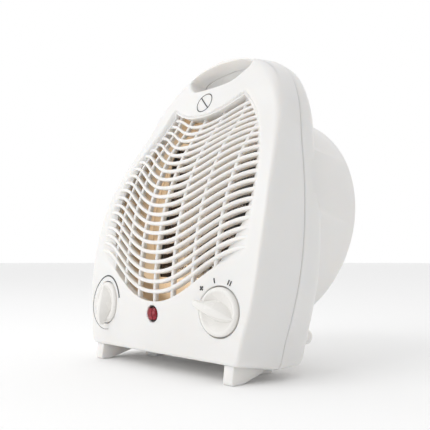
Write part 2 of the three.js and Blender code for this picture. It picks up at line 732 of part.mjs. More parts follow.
// Hub and pitched blades; the hub is bored to grip its shaft.
function impeller() {
  let fan = bar(HUB_RADIUS, FAN_Y, FAN_Y + FAN_DEPTH, 0, AXIS_Z, 28);
  for (let i = 0; i < BLADES; i++) {
    const rings = [];
    for (const r of [12, 26, 42, IMPELLER_RADIUS]) {
      const pitch = 1 - 0.35 * (r / IMPELLER_RADIUS);
      const half = Math.min(21, 9 + r * 0.28);
      const rise = (FAN_DEPTH / 2 - 0.8) * pitch;
      const corner = (s, lift) => {
        const angle = (2 * Math.PI * i) / BLADES + (s * half) / r;
        const y = FAN_Y + FAN_DEPTH / 2 + s * rise + lift;
        return [r * Math.sin(angle), y, AXIS_Z + r * Math.cos(angle)];
      };
      rings.push([corner(-1, -0.7), corner(0, -0.7), corner(1, -0.7),
        corner(1, 0.7), corner(0, 0.7), corner(-1, 0.7)]);
    }
    fan = fan.add(loft(rings));
  }
  return fan.subtract(bar(SHAFT_RADIUS + GAP, FAN_Y - 1, FAN_Y + FAN_DEPTH + 1, 0, AXIS_Z, 16));
}

// Laminated C-frame: a bored block whose lower leg runs through the coil.
function stator() {
  const block = box(-24, 24, STACK_FRONT, STACK_BACK, AXIS_Z - 34, AXIS_Z + 18);
  const window = box(-15, 15, STACK_FRONT - 1, STACK_BACK + 1, AXIS_Z - 26, AXIS_Z - 15);
  const bore = bar(ROTOR_RADIUS + 0.6, STACK_FRONT - 1, STACK_BACK + 1, 0, AXIS_Z, 28);
  return block.subtract(window).subtract(bore);
}

function motorCoil() {
  const outer = box(-13, 13, STACK_FRONT - 5, STACK_BACK + 3.6, AXIS_Z - 41.5, AXIS_Z - 18.5);
  const leg = box(-14, 14, STACK_FRONT - GAP, STACK_BACK + GAP, AXIS_Z - 34.4, AXIS_Z - 25.6);
  return outer.subtract(leg);
}

// Pressed strap with a bearing boss on the fan axis.
function bearingStrap(y0, y1, bossFrom, bossTo) {
  const strap = box(-20, 20, y0, y1, AXIS_Z - 6, AXIS_Z + 6);
  const boss = bar(6, bossFrom, bossTo, 0, AXIS_Z, 20);
  const hole = bar(SHAFT_RADIUS + 0.08, 70, 110, 0, AXIS_Z, 32);
  return strap.add(boss).subtract(hole);
}

// Upright strip screwed into the drum, with two standoffs that carry the motor's rear strap.
function motorBracket() {
  const strip = box(-8, 8, BRACKET_Y, BRACKET_Y + 1.5, AXIS_Z - 80, AXIS_Z + 80);
  const wings = box(-20, 20, BRACKET_Y, BRACKET_Y + 1.5, AXIS_Z - 6, AXIS_Z + 6);
  let cut = strip.add(wings);
  for (const x of [-15, 15]) cut = cut.add(bar(2.5, STRAP_BACK + GAP, BRACKET_Y + 1, x, AXIS_Z, 16));
  cut = cut.subtract(bar(7, 90, 110, 0, AXIS_Z, 20));
  for (const z of BRACKET_SCREWS_Z) cut = cut.subtract(bar(2, 95, 110, 0, z, 12));
  return cut;
}

// Screw along y with its head at the low-y side when facing is -1.
function screw(headY, facing, length, x, z, headRadius = 3.4) {
  const head = facing < 0 ? bar(headRadius, headY - 2.2, headY, x, z, 14)
    : bar(headRadius, headY, headY + 2.2, x, z, 14);
  const shank = facing < 0 ? bar(1.5, headY - 0.5, headY + length, x, z, 10)
    : bar(1.5, headY - length, headY + 0.5, x, z, 10);
  return head.add(shank);
}

// ---------------------------------------------------------------- assembly
const housing = new THREE.Group();
housing.rotation.x = -LEAN;
housing.position.set(0, -DEPTH_SHIFT, FLOOR_DROP);

housing.add(node("front_shell", frontShell(), WHITE));
housing.add(node("rear_shell", rearShell(), WHITE));
housing.add(node("foot_left", foot(-1), WHITE));
housing.add(node("foot_right", foot(1), WHITE));
housing.add(node("foot_rear", rearFoot(), WHITE));

function panelGroup(matrix) {
  const group = new THREE.Group();
  group.applyMatrix4(matrix);
  housing.add(group);
  return group;
}

// Body of a control behind its recess, bored for the shaft that turns in it.
function controlBody(length, width) {
  const front = -RECESS_DEPTH - RECESS_FLOOR - GAP;
  const shape = box(-width / 2, width / 2, -11, 11, front - length, front);
  return shape.subtract(solid(post(3.4, front - 6, front + 1, 20)));
}

const selector = panelGroup(selectorPlace);
selector.add(node("selector_knob", dialKnob(SELECTOR_REST), KNOB_WHITE));
selector.add(node("selector_shaft", dialShaft(), GREY));
selector.add(node("selector_switch", controlBody(18, 26), BLACK));

const thermostat = panelGroup(thermostatPlace);
thermostat.add(node("thermostat_knob", dialKnob(THERMOSTAT_REST), KNOB_WHITE));
thermostat.add(node("thermostat_shaft", dialShaft(), GREY));
thermostat.add(node("thermostat_body", controlBody(14, 30), CREAM));

const lamp = panelGroup(lampPlace);
const lens = new THREE.LatheGeometry(
  [[0, -6], [LAMP_RADIUS - 0.8, -6], [LAMP_RADIUS - 0.8, -1], [LAMP_RADIUS, 0], [4.6, 1],
    [2.4, 1.7], [0, 1.9]].map(([r, z]) => new THREE.Vector2(r, z)),
  24,
);
lens.rotateX(Math.PI / 2);
lamp.add(node("lamp_lens", solid(lens), RED_LENS));
lamp.add(node("lamp_body", post(3, -18, -6 - GAP, 16), GREY));

housing.add(node("air_baffle", airBaffle(), CREAM));
housing.add(node("heater_frame", heaterFrame(), STEEL));
MICA_X.forEach((x, i) => housing.add(node("mica_strip_" + (i + 1), micaStrip(x), MICA)));
housing.add(node("heating_wire_front", heatingWire(WIRE_FRONT_Y), NICHROME));
housing.add(node("heating_wire_back", heatingWire(WIRE_BACK_Y), NICHROME));
const cutoutY = (HEATER_FRONT + HEATER_BACK) / 2;
const cutout = new THREE.CylinderGeometry(6, 6, 5, 20);
cutout.rotateX(Math.PI / 2);
cutout.translate(-30, cutoutY, WINDOW.high + SHEET + GAP + 2.5);
housing.add(node("thermal_cutout", solid(cutout), BLACK));
const fuse = new THREE.CylinderGeometry(2, 2, 12, 12);
fuse.rotateZ(Math.PI / 2);
fuse.translate(22, cutoutY, WINDOW.high + SHEET + GAP + 2);
housing.add(node("thermal_fuse", solid(fuse), STEEL));

housing.add(node("fan_shroud", fanShroud(), CREAM));
housing.add(node("fan_impeller", impeller(), BLACK));
housing.add(node("motor_shaft", bar(SHAFT_RADIUS, FAN_Y - 1, 103.6, 0, AXIS_Z, 32), STEEL));
housing.add(node("motor_rotor",
  tube(ROTOR_RADIUS, SHAFT_RADIUS + GAP, STACK_FRONT, STACK_BACK, 0, AXIS_Z, 28), LAMINATION));
housing.add(node("motor_stator", stator(), LAMINATION));
housing.add(node("motor_coil", motorCoil(), COPPER));
housing.add(node("bearing_strap_front", bearingStrap(85.1, 86.6, 82, 86.6), STEEL));
housing.add(node("bearing_strap_rear", bearingStrap(97.4, STRAP_BACK, 97.4, 103), STEEL));
housing.add(node("motor_bracket", motorBracket(), STEEL));
BRACKET_SCREWS_Z.forEach((z, i) =>
  housing.add(node("bracket_screw_" + (i + 1), screw(BRACKET_Y - GAP, -1, 6, 0, z), STEEL)));
SCREW_PLACES.forEach(([x, z], i) =>
  housing.add(node("case_screw_" + (i + 1), screw(HEAD_SEAT + GAP, 1, 16, x, z), STEEL)));

// Grommet in the back wall for the supply cord, its clamp and the terminal block inside.
const glandProfile = [
  [GLAND_BORE, REAR_FACE_Y - 5], [GLAND_RADIUS, REAR_FACE_Y - 5], [GLAND_RADIUS, REAR_FACE_Y + GAP],
  [6.6, REAR_FACE_Y + GAP], [6.6, REAR_FACE_Y + 2.4], [5.2, REAR_FACE_Y + 10],
  [GLAND_BORE, REAR_FACE_Y + 10], [GLAND_BORE, REAR_FACE_Y - 5],
].map(([r, y]) => new THREE.Vector2(r, y));
const gland = new THREE.LatheGeometry(glandProfile, 24);
gland.translate(GLAND_X, 0, GLAND_Z);
housing.add(node("cable_gland", solid(gland), WHITE));
const boxOf = ({ x0, x1, y0, y1, z0, z1 }) => box(x0, x1, y0, y1, z0, z1);
housing.add(node("cord_clamp", boxOf(CORD_CLAMP), CREAM));
housing.add(node("terminal_block", boxOf(TERMINAL_BLOCK), CREAM));

const heater = new THREE.Group();
heater.add(housing);
export default heater;
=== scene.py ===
"""Fan convector heater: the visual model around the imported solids.

Shapes are drawn in millimetres in the housing's own frame (x across, y back along the moulding
direction, z up the front), and HOUSING brings them to the shared frame in metres.
"""
import json
import math

import bmesh
import bpy
import numpy as np
from mathutils import Matrix, Vector
from mathutils.bvhtree import BVHTree


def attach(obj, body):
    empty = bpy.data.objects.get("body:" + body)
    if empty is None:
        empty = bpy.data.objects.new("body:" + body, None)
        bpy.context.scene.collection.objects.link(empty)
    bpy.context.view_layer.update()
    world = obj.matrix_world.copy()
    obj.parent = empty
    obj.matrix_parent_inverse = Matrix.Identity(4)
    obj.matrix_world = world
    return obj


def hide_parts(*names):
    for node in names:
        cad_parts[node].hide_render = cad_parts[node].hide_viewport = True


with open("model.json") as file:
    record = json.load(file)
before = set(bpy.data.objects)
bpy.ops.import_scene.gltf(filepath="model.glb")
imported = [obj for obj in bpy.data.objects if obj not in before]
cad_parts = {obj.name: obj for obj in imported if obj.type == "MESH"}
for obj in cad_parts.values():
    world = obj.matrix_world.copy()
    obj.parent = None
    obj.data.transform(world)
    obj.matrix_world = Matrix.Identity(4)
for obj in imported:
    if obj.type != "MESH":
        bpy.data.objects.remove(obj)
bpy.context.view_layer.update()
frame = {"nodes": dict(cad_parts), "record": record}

# ------------------------------------------------------------------ driving dimensions, mm
LEAN = math.radians(10)
FLOOR_DROP = 1.5
DEPTH_SHIFT = 74.27
MM = 0.001
HOUSING = (
    Matrix.Translation((0, -DEPTH_SHIFT * MM, FLOOR_DROP * MM))
    @ Matrix.Rotation(-LEAN, 4, "X")
    @ Matrix.Scale(MM, 4)
)
WALL = 2.5
SEAM_GAP = 0.4

# Half outlines, x and z, from the bottom corner up to the top centre.
FACE_EDGE = [
    (78, 12.5), (81, 16), (84.5, 31), (89.5, 50), (92.4, 76), (92.8, 108), (89, 142),
    (82, 173), (71.5, 201), (60, 222), (45, 236.5), (25, 245.5), (0, 249.5),
]
SEAM_EDGE = [
    (83, 13), (87.5, 16), (89.5, 31), (92.5, 50), (94.6, 76), (93, 108), (87.8, 142),
    (80.8, 173), (73.8, 204), (63.5, 226.5), (50, 240.5), (27, 250.5), (0, 254),
]
HANDLE_HOLE = [
    (0, 222.2), (13, 222.6), (21.5, 224.4), (29, 230.2), (34.4, 237.2), (32.2, 242),
    (20, 245.6), (0, 247.2),
]
HOLE_CENTRE = (0, 236)
OUTLINE_CENTRE = (0, 125)
# Depth of the front face on its centre line, as z and y.
FACE_PROFILE = [
    (-20, 20), (10, 8.8), (45, 0), (80, -4.4), (120, -3.2), (160, 6.8), (190, 18.6),
    (200, 21.3), (210, 23), (222, 26.2), (236, 31), (249, 35), (262, 37),
]
FACE_CROWN = 0.00185
CROWN_RISE = 55  # height over which the crown builds up from the flat bottom edge
CROWN_SHARPNESS = 6
# The crown levels off towards the edges at these depths, as z and depth.
CROWN_LIMIT = [
    (-20, 0.5), (16, 1.0), (31, 3.4), (50, 6.5), (76, 8.8), (108, 10.2), (142, 10.2),
    (173, 9.6), (201, 7.2), (222, 6.6), (236, 4.5), (250, 2.5), (262, 2),
]
SEAM_AT_BASE = 41
SEAM_SLOPE = 0.045
REAR_EDGE_Y = 60
REAR_FACE_Y = 70.5
REAR_BASE_RISE = 3.6

LOUVRES = 20
LOUVRE_PITCH = 7
OPENING_BASE = 48
BROW_BASE = OPENING_BASE + LOUVRE_PITCH * (LOUVRES + 1)
BROW_CURVE = 0.0085
BROW_ROUND = 2.4
BROW_FADE_FROM = 32
BROW_FADE_SPAN = 8
OPENING_HALF = 81.7
NARROWS_FROM = 92
NARROWING = 1.6e-4
NARROWING_POWER = 2.6
LOUVRE_DEPTH = 5.4
LOUVRE_NOSE_HALF = 1.45
LOUVRE_TAIL_HALF = 0.9
LOUVRE_SETBACK = 0.1
RIB_PITCH = 18.9
RIBS_EACH_SIDE = 3
RIB_HALF = 1.35
RIB_RECESS = 1.7  # from the louvres' noses to the ribs' fronts
# Towards the top the louvres lie deeper than the face.
SINK = 5
SINK_FROM = 150
SINK_SPAN = 55
# Beside the opening the frame is dished under the louvres' ends, most of all low down.
DISH_DEPTH = 4.4
DISH_WIDTH = 5.4
DISH_LOW_WIDTH = 19
DISH_LOW_FROM = 130
DISH_LOW_SPAN = 54

BAFFLE_Y = 48.4

AXIS_Z = 129.5
DRUM_RADIUS = 90.7
DRUM_BACK = 110.3
DRUM_ROUND = 3.4

GRIP_RIM_RADIUS = 2.6
GRIP_SPLIT_Y = 52.1  # middle of the gap between the grip opening's front and rear collars

DIAL_X = 63.5
DIAL_Z = 44.8
DIAL_RADIUS = 15.9
RECESS_RADIUS = 16.8
RECESS_DEPTH = 4.5
SELECTOR_REST = math.radians(73)
THERMOSTAT_REST = math.radians(-168)
LAMP_Z = 39.3
LAMP_RADIUS = 5.7
GLAND = (77, 37)  # x and z
SYMBOL_Z = 208
SYMBOL_RADIUS = 8
PRINT_LIFT = 0.06
PRINT_DEPTH = 0.3


# ------------------------------------------------------------------ curves and surfaces
def spline(points, steps, power=0.0):
    """Catmull-Rom curve through the points; power 0 is uniform and 0.25 centripetal."""
    p = [np.array(q, float) for q in points]
    if power:
        p = [2 * p[0] - p[1], *p, 2 * p[-1] - p[-2]]
    else:
        p = [p[0], *p, p[-1]]
    out = []
    spans = len(p) - 3
    for i in range(steps + 1):
        at = spans * i / steps
        k = min(int(at), spans - 1)
        a, b, c, d = p[k : k + 4]
        t = at - k
        if power:
            neighbours = ((a, b), (b, c), (c, d))
            d1, d2, d3 = (max(float(((v - u) ** 2).sum()) ** power, 1e-6) for u, v in neighbours)
            m1 = ((b - a) / d1 - (c - a) / (d1 + d2) + (c - b) / d2) * d2
            m2 = ((c - b) / d2 - (d - b) / (d2 + d3) + (d - c) / d3) * d2
        else:
            m1, m2 = (c - a) / 2, (d - b) / 2
        out.append(
            (2 * t**3 - 3 * t**2 + 1) * b
            + (t**3 - 2 * t**2 + t) * m1
            + (3 * t**2 - 2 * t**3) * c
            + (t**3 - t**2) * m2
        )
    return np.array(out)


PROFILE = spline(FACE_PROFILE, 240, 0.25)
LIMIT = spline(CROWN_LIMIT, 240, 0.25)


def face_y(x, z):
    """Depth of the plain front face, before its brow and dish."""
    growth = 1 - np.exp(-np.maximum(np.asarray(z, float), 0) / CROWN_RISE)
    crown = FACE_CROWN * growth * np.asarray(x, float) ** 2
    limit = np.interp(z, LIMIT[:, 0], LIMIT[:, 1])
    level = (1 + (crown / limit) ** CROWN_SHARPNESS) ** (1 / CROWN_SHARPNESS)
    return np.interp(z, PROFILE[:, 0], PROFILE[:, 1]) + crown / level


def seam_y(z):
    """Depth of the seam between the front and rear shells."""
    return SEAM_AT_BASE + SEAM_SLOPE * np.asarray(z, float)


def floor_z(y):
    """Height of the floor in the housing's frame."""
    return y * math.tan(LEAN) - FLOOR_DROP / math.cos(LEAN)


def open_half(z):
    """Half width between the louvres' tips at a height."""
    return OPENING_HALF - NARROWING * np.maximum(0, z - NARROWS_FROM) ** NARROWING_POWER


def tip_rise(base):
    """How far a louvre's tips stand above its middle."""
    if base < 100:
        return 29 + 0.06 * (100 - base)
    return 29 - 0.0017 * (base - 100) ** 2


def wave_z(x, base):
    """Height of the wavy louvre whose middle is at base."""
    rise = tip_rise(base)
    phase = np.minimum(1, np.abs(x) / open_half(base + rise))
    return base + rise * ((1 - np.cos(np.pi * phase)) / 2) ** 1.15


def smooth(t):
    """Smooth step from 0 to 1."""
    t = np.clip(t, 0, 1)
    return t * t * (3 - 2 * t)


def dish_width(z):
    """Width of the dished frame between the hole and the louvres' tips."""
    return DISH_WIDTH + DISH_LOW_WIDTH * (np.maximum(0, DISH_LOW_FROM - z) / DISH_LOW_SPAN) ** 2


def hole_half(z):
    """Half width of the hole itself."""
    return open_half(z) - dish_width(z)


def sink(z):
    """How much deeper than the face the louvres lie at a height."""
    return SINK * smooth((z - SINK_FROM) / SINK_SPAN)


def brow_z(x):
    """Height of the opening's upper edge."""
    return BROW_BASE + BROW_CURVE * x**2


def skin_y(x, z):
    """Depth of the front with its rounded brow and the dish beside the opening."""
    x, z = np.abs(np.asarray(x, float)), np.asarray(z, float)
    above = z - brow_z(x)
    edge = np.clip(BROW_ROUND - above, 0, BROW_ROUND)
    fade = 1 - smooth((x - BROW_FADE_FROM) / BROW_FADE_SPAN)
    brow = np.where(above > -3, BROW_ROUND - np.sqrt(BROW_ROUND**2 - edge**2), 0) * fade
    outside = np.clip((x - hole_half(z)) / dish_width(z), 0, 1)
    low = smooth((z - wave_z(x, OPENING_BASE) + 0.5) / 4)
    high = 1 - smooth((z - brow_z(x) + 1) / 3)
    dish = DISH_DEPTH * (1 - outside) ** 1.15 + sink(z) * (1 - outside) ** 2.4
    return face_y(x, z) + brow + dish * low * high


def outline(half_points, side_steps, base_steps):
    """Whole outline as x, z rows, from the bottom centre round the right side and back."""
    side = spline(half_points, side_steps)
    corner = half_points[0]
    base = [(corner[0] * i / base_steps, corner[1]) for i in range(base_steps)]
    half = np.array([*base, *side])
    mirrored = half[1:-1][::-1] * (-1, 1)
    return np.vstack([half, mirrored])


def scaled(points, k):
    """The outline scaled about its centre."""
    return (points - OUTLINE_CENTRE) * k + OUTLINE_CENTRE


def inset(points, distance, centre=OUTLINE_CENTRE):
    """The outline with each point moved towards the centre by the distance."""
    away = points - centre
    length = np.linalg.norm(away, axis=1, keepdims=True)
    return centre + away * (1 - distance / length)


def ring(points, depth):
    """An x, z outline as x, y, z rows; depth is a number or one for each point."""
    return np.column_stack([points[:, 0], np.broadcast_to(depth, len(points)), points[:, 1]])


# ------------------------------------------------------------------ mesh building
def build(name, rows, faces, matrix=HOUSING):
    """Object from vertex rows in mm, with its faces turned outwards."""
    mesh = bpy.data.meshes.new(name)
    mesh.from_pydata([tuple(map(float, r)) for r in rows], [], [tuple(f) for f in faces])
    mesh.transform(matrix)
    bm = bmesh.new()
    bm.from_mesh(mesh)
    bmesh.ops.recalc_face_normals(bm, faces=bm.faces)
    bm.to_mesh(mesh)
    bm.free()
    obj = bpy.data.objects.new(name, mesh)
    bpy.context.scene.collection.objects.link(obj)
    return obj


def loft_data(rings):
    """Vertices and faces of a body through the rings, closed by a fan at both ends."""
    count = len(rings[0])
    rows = [p for r in rings for p in r]
    faces = []
    for r in range(len(rings) - 1):
        for i in range(count):
            j = (i + 1) % count
            a, b = r * count, (r + 1) * count
            faces.append((a + i, a + j, b + j, b + i))
    for r in (0, len(rings) - 1):
        rows.append(np.mean(rings[r], axis=0))
        hub = len(rows) - 1
        for i in range(count):
            faces.append((r * count + i, r * count + (i + 1) % count, hub))
    return rows, faces


def loft(name, rings, matrix=HOUSING):
    """Object through the rings."""
    return build(name, *loft_data(rings), matrix)


def many_lofts(name, bodies):
    """One object of several separate bodies."""
    rows, faces = [], []
    for rings in bodies:
        r, f = loft_data(rings)
        faces += [tuple(i + len(rows) for i in face) for face in f]
        rows += r
    return build(name, rows, faces)


def sleeve(name, rings, matrix=HOUSING):
    """Hollow body whose wall runs through the rings and back to the first."""
    count = len(rings[0])
    rows = [p for r in rings for p in r]
    faces = []
    for r in range(len(rings)):
        for i in range(count):
            j = (i + 1) % count
            a, b = r * count, ((r + 1) % len(rings)) * count
            faces.append((a + i, a + j, b + j, b + i))
    return build(name, rows, faces, matrix)


def lathe_rings(profile, sides):
    """Rings of a turned body round z from radius, height pairs with no point on the axis."""
    turn = np.linspace(0, 2 * np.pi, sides, endpoint=False)
    return [np.column_stack([r * np.cos(turn), r * np.sin(turn), np.full(sides, h)]) for r, h in profile]


def lathe(name, profile, matrix, sides=96):
    """Turned body round the matrix's z, from radius, height pairs."""
    return loft(name, lathe_rings(profile, sides), matrix)


ALONG_Y = Matrix.Rotation(-math.pi / 2, 4, "X")  # turns a body round z into one round +y


def turned_y(name, profile, x, z, sides):
    """Turned body round an axis along the housing's y, from radius, y pairs."""
    return lathe(name, profile, HOUSING @ Matrix.Translation((x, 0, z)) @ ALONG_Y, sides)


def evaluated(obj):
    """Applies the object's modifiers to its mesh."""
    graph = bpy.context.evaluated_depsgraph_get()
    graph.update()
    mesh = bpy.data.meshes.new_from_object(obj.evaluated_get(graph))
    obj.modifiers.clear()
    obj.data = mesh
    return obj


def combine(base, other, operation):
    """Boolean of two objects, kept in the first."""
    change = base.modifiers.new("combine", "BOOLEAN")
    change.operation = operation
    change.object = other
    change.solver = "MANIFOLD"
    evaluated(base)
    bpy.data.objects.remove(other)
    return base


def cut(base, other):
    return combine(base, other, "DIFFERENCE")


def add(base, other):
    return combine(base, other, "UNION")


def bevelled(obj, width, segments=3):
    """Rounds the edges sharper than 35 degrees."""
    change = obj.modifiers.new("bevel", "BEVEL")
    change.width = width * MM
    change.segments = segments
    change.limit_method = "ANGLE"
    change.angle_limit = math.radians(35)
    return evaluated(obj)


def smoothed(obj, angle=32):
    """Smooth shading, with edges kept sharp above the angle."""
    obj.data.shade_smooth()
    bm = bmesh.new()
    bm.from_mesh(obj.data)
    for edge in bm.edges:
        if len(edge.link_faces) == 2 and edge.calc_face_angle() > math.radians(angle):
            edge.smooth = False
    bm.to_mesh(obj.data)
    bm.free()
    return obj


def finish_piece(obj, material, body="housing", stands_for=(), angle=32):
    """Gives a piece its shading, material and body, and hides the nodes that it stands for."""
    smoothed(obj, angle)
    obj.data.materials.clear()
    obj.data.materials.append(material)
    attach(obj, body)
    if stands_for:
        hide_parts(*stands_for)
    return obj


# ------------------------------------------------------------------ materials
class Shader:
    """A material with a Principled shader and short ways to feed it."""

    def __init__(self, name, colour, roughness, metallic=0.0, **sockets):
        self.material = bpy.data.materials.new(name)
        self.material.use_nodes = True
        self.nodes = self.material.node_tree.nodes
        self.links = self.material.node_tree.links
        self.principled = self.nodes["Principled BSDF"]
        self.set("Base Color", (*colour, 1))
        self.set("Roughness", roughness)
        self.set("Metallic", metallic)
        for key, value in sockets.items():
            self.set(key.replace("_", " "), value)
        self.place = self.nodes.new("ShaderNodeTexCoord").outputs["Object"]
        self.bumps = None

    def set(self, socket, value):
        """Sets a socket of the Principled shader."""
        self.principled.inputs[socket].default_value = value

    def stretched(self, scale):
        """Object coordinates scaled by x, y and z."""
        mapping = self.nodes.new("ShaderNodeMapping")
        mapping.inputs["Scale"].default_value = scale
        self.links.new(self.place, mapping.inputs["Vector"])
        return mapping.outputs["Vector"]

    def noise(self, scale, detail=3.0, vector=None):
        node = self.nodes.new("ShaderNodeTexNoise")
        node.inputs["Scale"].default_value = scale
        node.inputs["Detail"].default_value = detail
        self.links.new(vector or self.place, node.inputs["Vector"])
        return node.outputs["Fac"]

    def bands(self, scale, direction):
        """Even bands across a direction."""
        node = self.nodes.new("ShaderNodeTexWave")
        node.bands_direction = direction
        node.inputs["Scale"].default_value = scale
        self.links.new(self.place, node.inputs["Vector"])
        return node.outputs["Fac"]

    def ramp(self, source, low, high):
        """The source's middle range spread from low to high."""
        node = self.nodes.new("ShaderNodeMapRange")
        node.inputs["From Min"].default_value = 0.35
        node.inputs["From Max"].default_value = 0.65
        node.inputs["To Min"].default_value = low
        node.inputs["To Max"].default_value = high
        self.links.new(source, node.inputs["Value"])
        return node.outputs["Result"]

    def tint(self, source, first, second):
        """Base colour that wanders between two colours with the source."""
        node = self.nodes.new("ShaderNodeMix")
        node.data_type = "RGBA"
        node.inputs[6].default_value = (*first, 1)
        node.inputs[7].default_value = (*second, 1)
        self.links.new(source, node.inputs[0])
        self.links.new(node.outputs[2], self.principled.inputs["Base Color"])
        return self

    def rough(self, source, low, high):
        """Roughness that wanders from low to high with the source."""
        self.links.new(self.ramp(source, low, high), self.principled.inputs["Roughness"])
        return self

    def bump(self, source, depth_mm, strength=0.5):
        """Relief of a depth, on top of any relief added before."""
        node = self.nodes.new("ShaderNodeBump")
        node.inputs["Strength"].default_value = strength
        node.inputs["Distance"].default_value = depth_mm * MM
        self.links.new(source, node.inputs["Height"])
        if self.bumps:
            self.links.new(self.bumps, node.inputs["Normal"])
        self.bumps = node.outputs["Normal"]
        self.links.new(self.bumps, self.principled.inputs["Normal"])
        return self


def moulded(name, first, second, low, high, grain=0.02, **sockets):
    """Moulded plastic: a faint drift of colour, a fine spark grain and slight flow unevenness."""
    s = Shader(name, first, (low + high) / 2, **sockets)
    s.tint(s.ramp(s.noise(14, 2), 0, 1), first, second)
    s.rough(s.noise(60, 4), low, high)
    s.bump(s.noise(2600, 2), grain)
    s.bump(s.noise(45, 1), 0.05, 0.12)
    return s.material


def sheet_metal(name, first, second, low, high):
    """Plated sheet with a drawn grain along y."""
    s = Shader(name, first, (low + high) / 2, metallic=1.0)
    grain = s.noise(1, 5, s.stretched((900, 60, 900)))
    s.tint(s.ramp(grain, 0, 1), first, second)
    s.rough(grain, low, high)
    s.bump(grain, 0.02)
    return s.material


# Mica boards: the mineral's own brown, darkened almost to black as painted shade for the dark heater
# window behind the louvres.
def mica_in_painted_shade_material():
    s = Shader("mica_sheet_painted_shade", (0.03, 0.018, 0.01), 0.5)
    flakes = s.noise(300, 5, s.stretched((1, 1, 0.4)))
    s.tint(s.ramp(flakes, 0, 1), (0.045, 0.025, 0.014), (0.022, 0.012, 0.007))
    s.rough(flakes, 0.3, 0.7)
    s.bump(flakes, 0.08)
    return s.material


def copper_material():
    s = Shader("copper_winding", (0.55, 0.22, 0.09), 0.3, metallic=1.0)
    turns = s.bands(700, "X")
    s.tint(turns, (0.30, 0.10, 0.04), (0.70, 0.32, 0.14))
    s.rough(s.noise(200), 0.25, 0.4)
    s.bump(turns, 0.2, 0.8)
    return s.material


def lamination_material():
    s = Shader("steel_laminations", (0.22, 0.23, 0.24), 0.45, metallic=1.0)
    sheets = s.bands(300, "Y")
    s.tint(sheets, (0.13, 0.13, 0.14), (0.33, 0.34, 0.35))
    s.rough(s.noise(180), 0.35, 0.6)
    s.bump(sheets, 0.1, 0.6)
    return s.material


def wire_material():
    s = Shader("resistance_wire", (0.20, 0.17, 0.15), 0.5, metallic=1.0)
    oxide = s.noise(400, 4)
    s.tint(s.ramp(oxide, 0, 1), (0.30, 0.25, 0.21), (0.10, 0.08, 0.08))
    s.rough(oxide, 0.35, 0.65)
    return s.material


def lens_material():
    s = Shader("red_lens", (0.42, 0.008, 0.025), 0.15, IOR=1.49)
    s.set("Transmission Weight", 0.25)
    s.tint(s.ramp(s.noise(500, 2), 0, 1), (0.48, 0.012, 0.035), (0.25, 0.003, 0.012))
    s.bump(s.noise(1500, 1), 0.02)
    return s.material


def ink_material():
    s = Shader("printed_ink", (0.03, 0.03, 0.03), 0.5)
    s.tint(s.ramp(s.noise(1800, 3), 0, 1), (0.02, 0.02, 0.02), (0.07, 0.07, 0.07))
    s.rough(s.noise(900), 0.4, 0.6)
    return s.material


# light that passes through the thin white walls
THROUGH = {"Subsurface_Weight": 0.5, "Subsurface_Scale": 0.004, "Subsurface_Radius": (1.0, 0.85, 0.7)}
WHITE = moulded("white_housing", (0.87, 0.852, 0.83), (0.85, 0.832, 0.81), 0.30, 0.38, **THROUGH)
KNOB = moulded("knob_plastic", (0.87, 0.855, 0.83), (0.85, 0.835, 0.805), 0.22, 0.30, grain=0.008)
CREAM = moulded("cream_baffle", (0.86, 0.69, 0.49), (0.80, 0.63, 0.43), 0.5, 0.65)
BLACK = moulded("black_plastic", (0.012, 0.010, 0.009), (0.02, 0.017, 0.015), 0.4, 0.6)
GREY = moulded("grey_plastic", (0.30, 0.30, 0.30), (0.25, 0.25, 0.25), 0.4, 0.55)
STEEL = sheet_metal("plated_steel", (0.50, 0.50, 0.49), (0.40, 0.40, 0.39), 0.28, 0.48)
# near-black mica: partly its own brown, partly painted shade for the shaded inside of the heater window
MICA_IN_PAINTED_SHADE = mica_in_painted_shade_material()
COPPER = copper_material()
LAMINATION = lamination_material()
WIRE = wire_material()
LENS = lens_material()
INK = ink_material()

NODE_MATERIALS = {
    "white_plastic": WHITE, "knob_plastic": KNOB, "cream_plastic": CREAM, "mica": MICA_IN_PAINTED_SHADE,
    "black_plastic": BLACK, "lamp_red": LENS, "grey_plastic": GREY, "steel": STEEL,
    "resistance_wire": WIRE, "copper": COPPER, "lamination": LAMINATION,
}


def dress_cad_nodes():
    """Every CAD node gets its slot's procedural material."""
    for entry in frame["record"]["subparts"]:
        node = frame["nodes"][entry["node"]]
        node.data.materials.clear()
        node.data.materials.append(NODE_MATERIALS[entry["material_slot"]])


# ------------------------------------------------------------------ front shell
SIDE_STEPS = 96
BASE_STEPS = 20
FACE_RINGS = 110
FILLET_STEPS = 7


def fillet_radius(z):
    """The crease between the face and the side is rounder towards the top."""
    return 2.6 + 3.4 * smooth((z - 90) / 130)


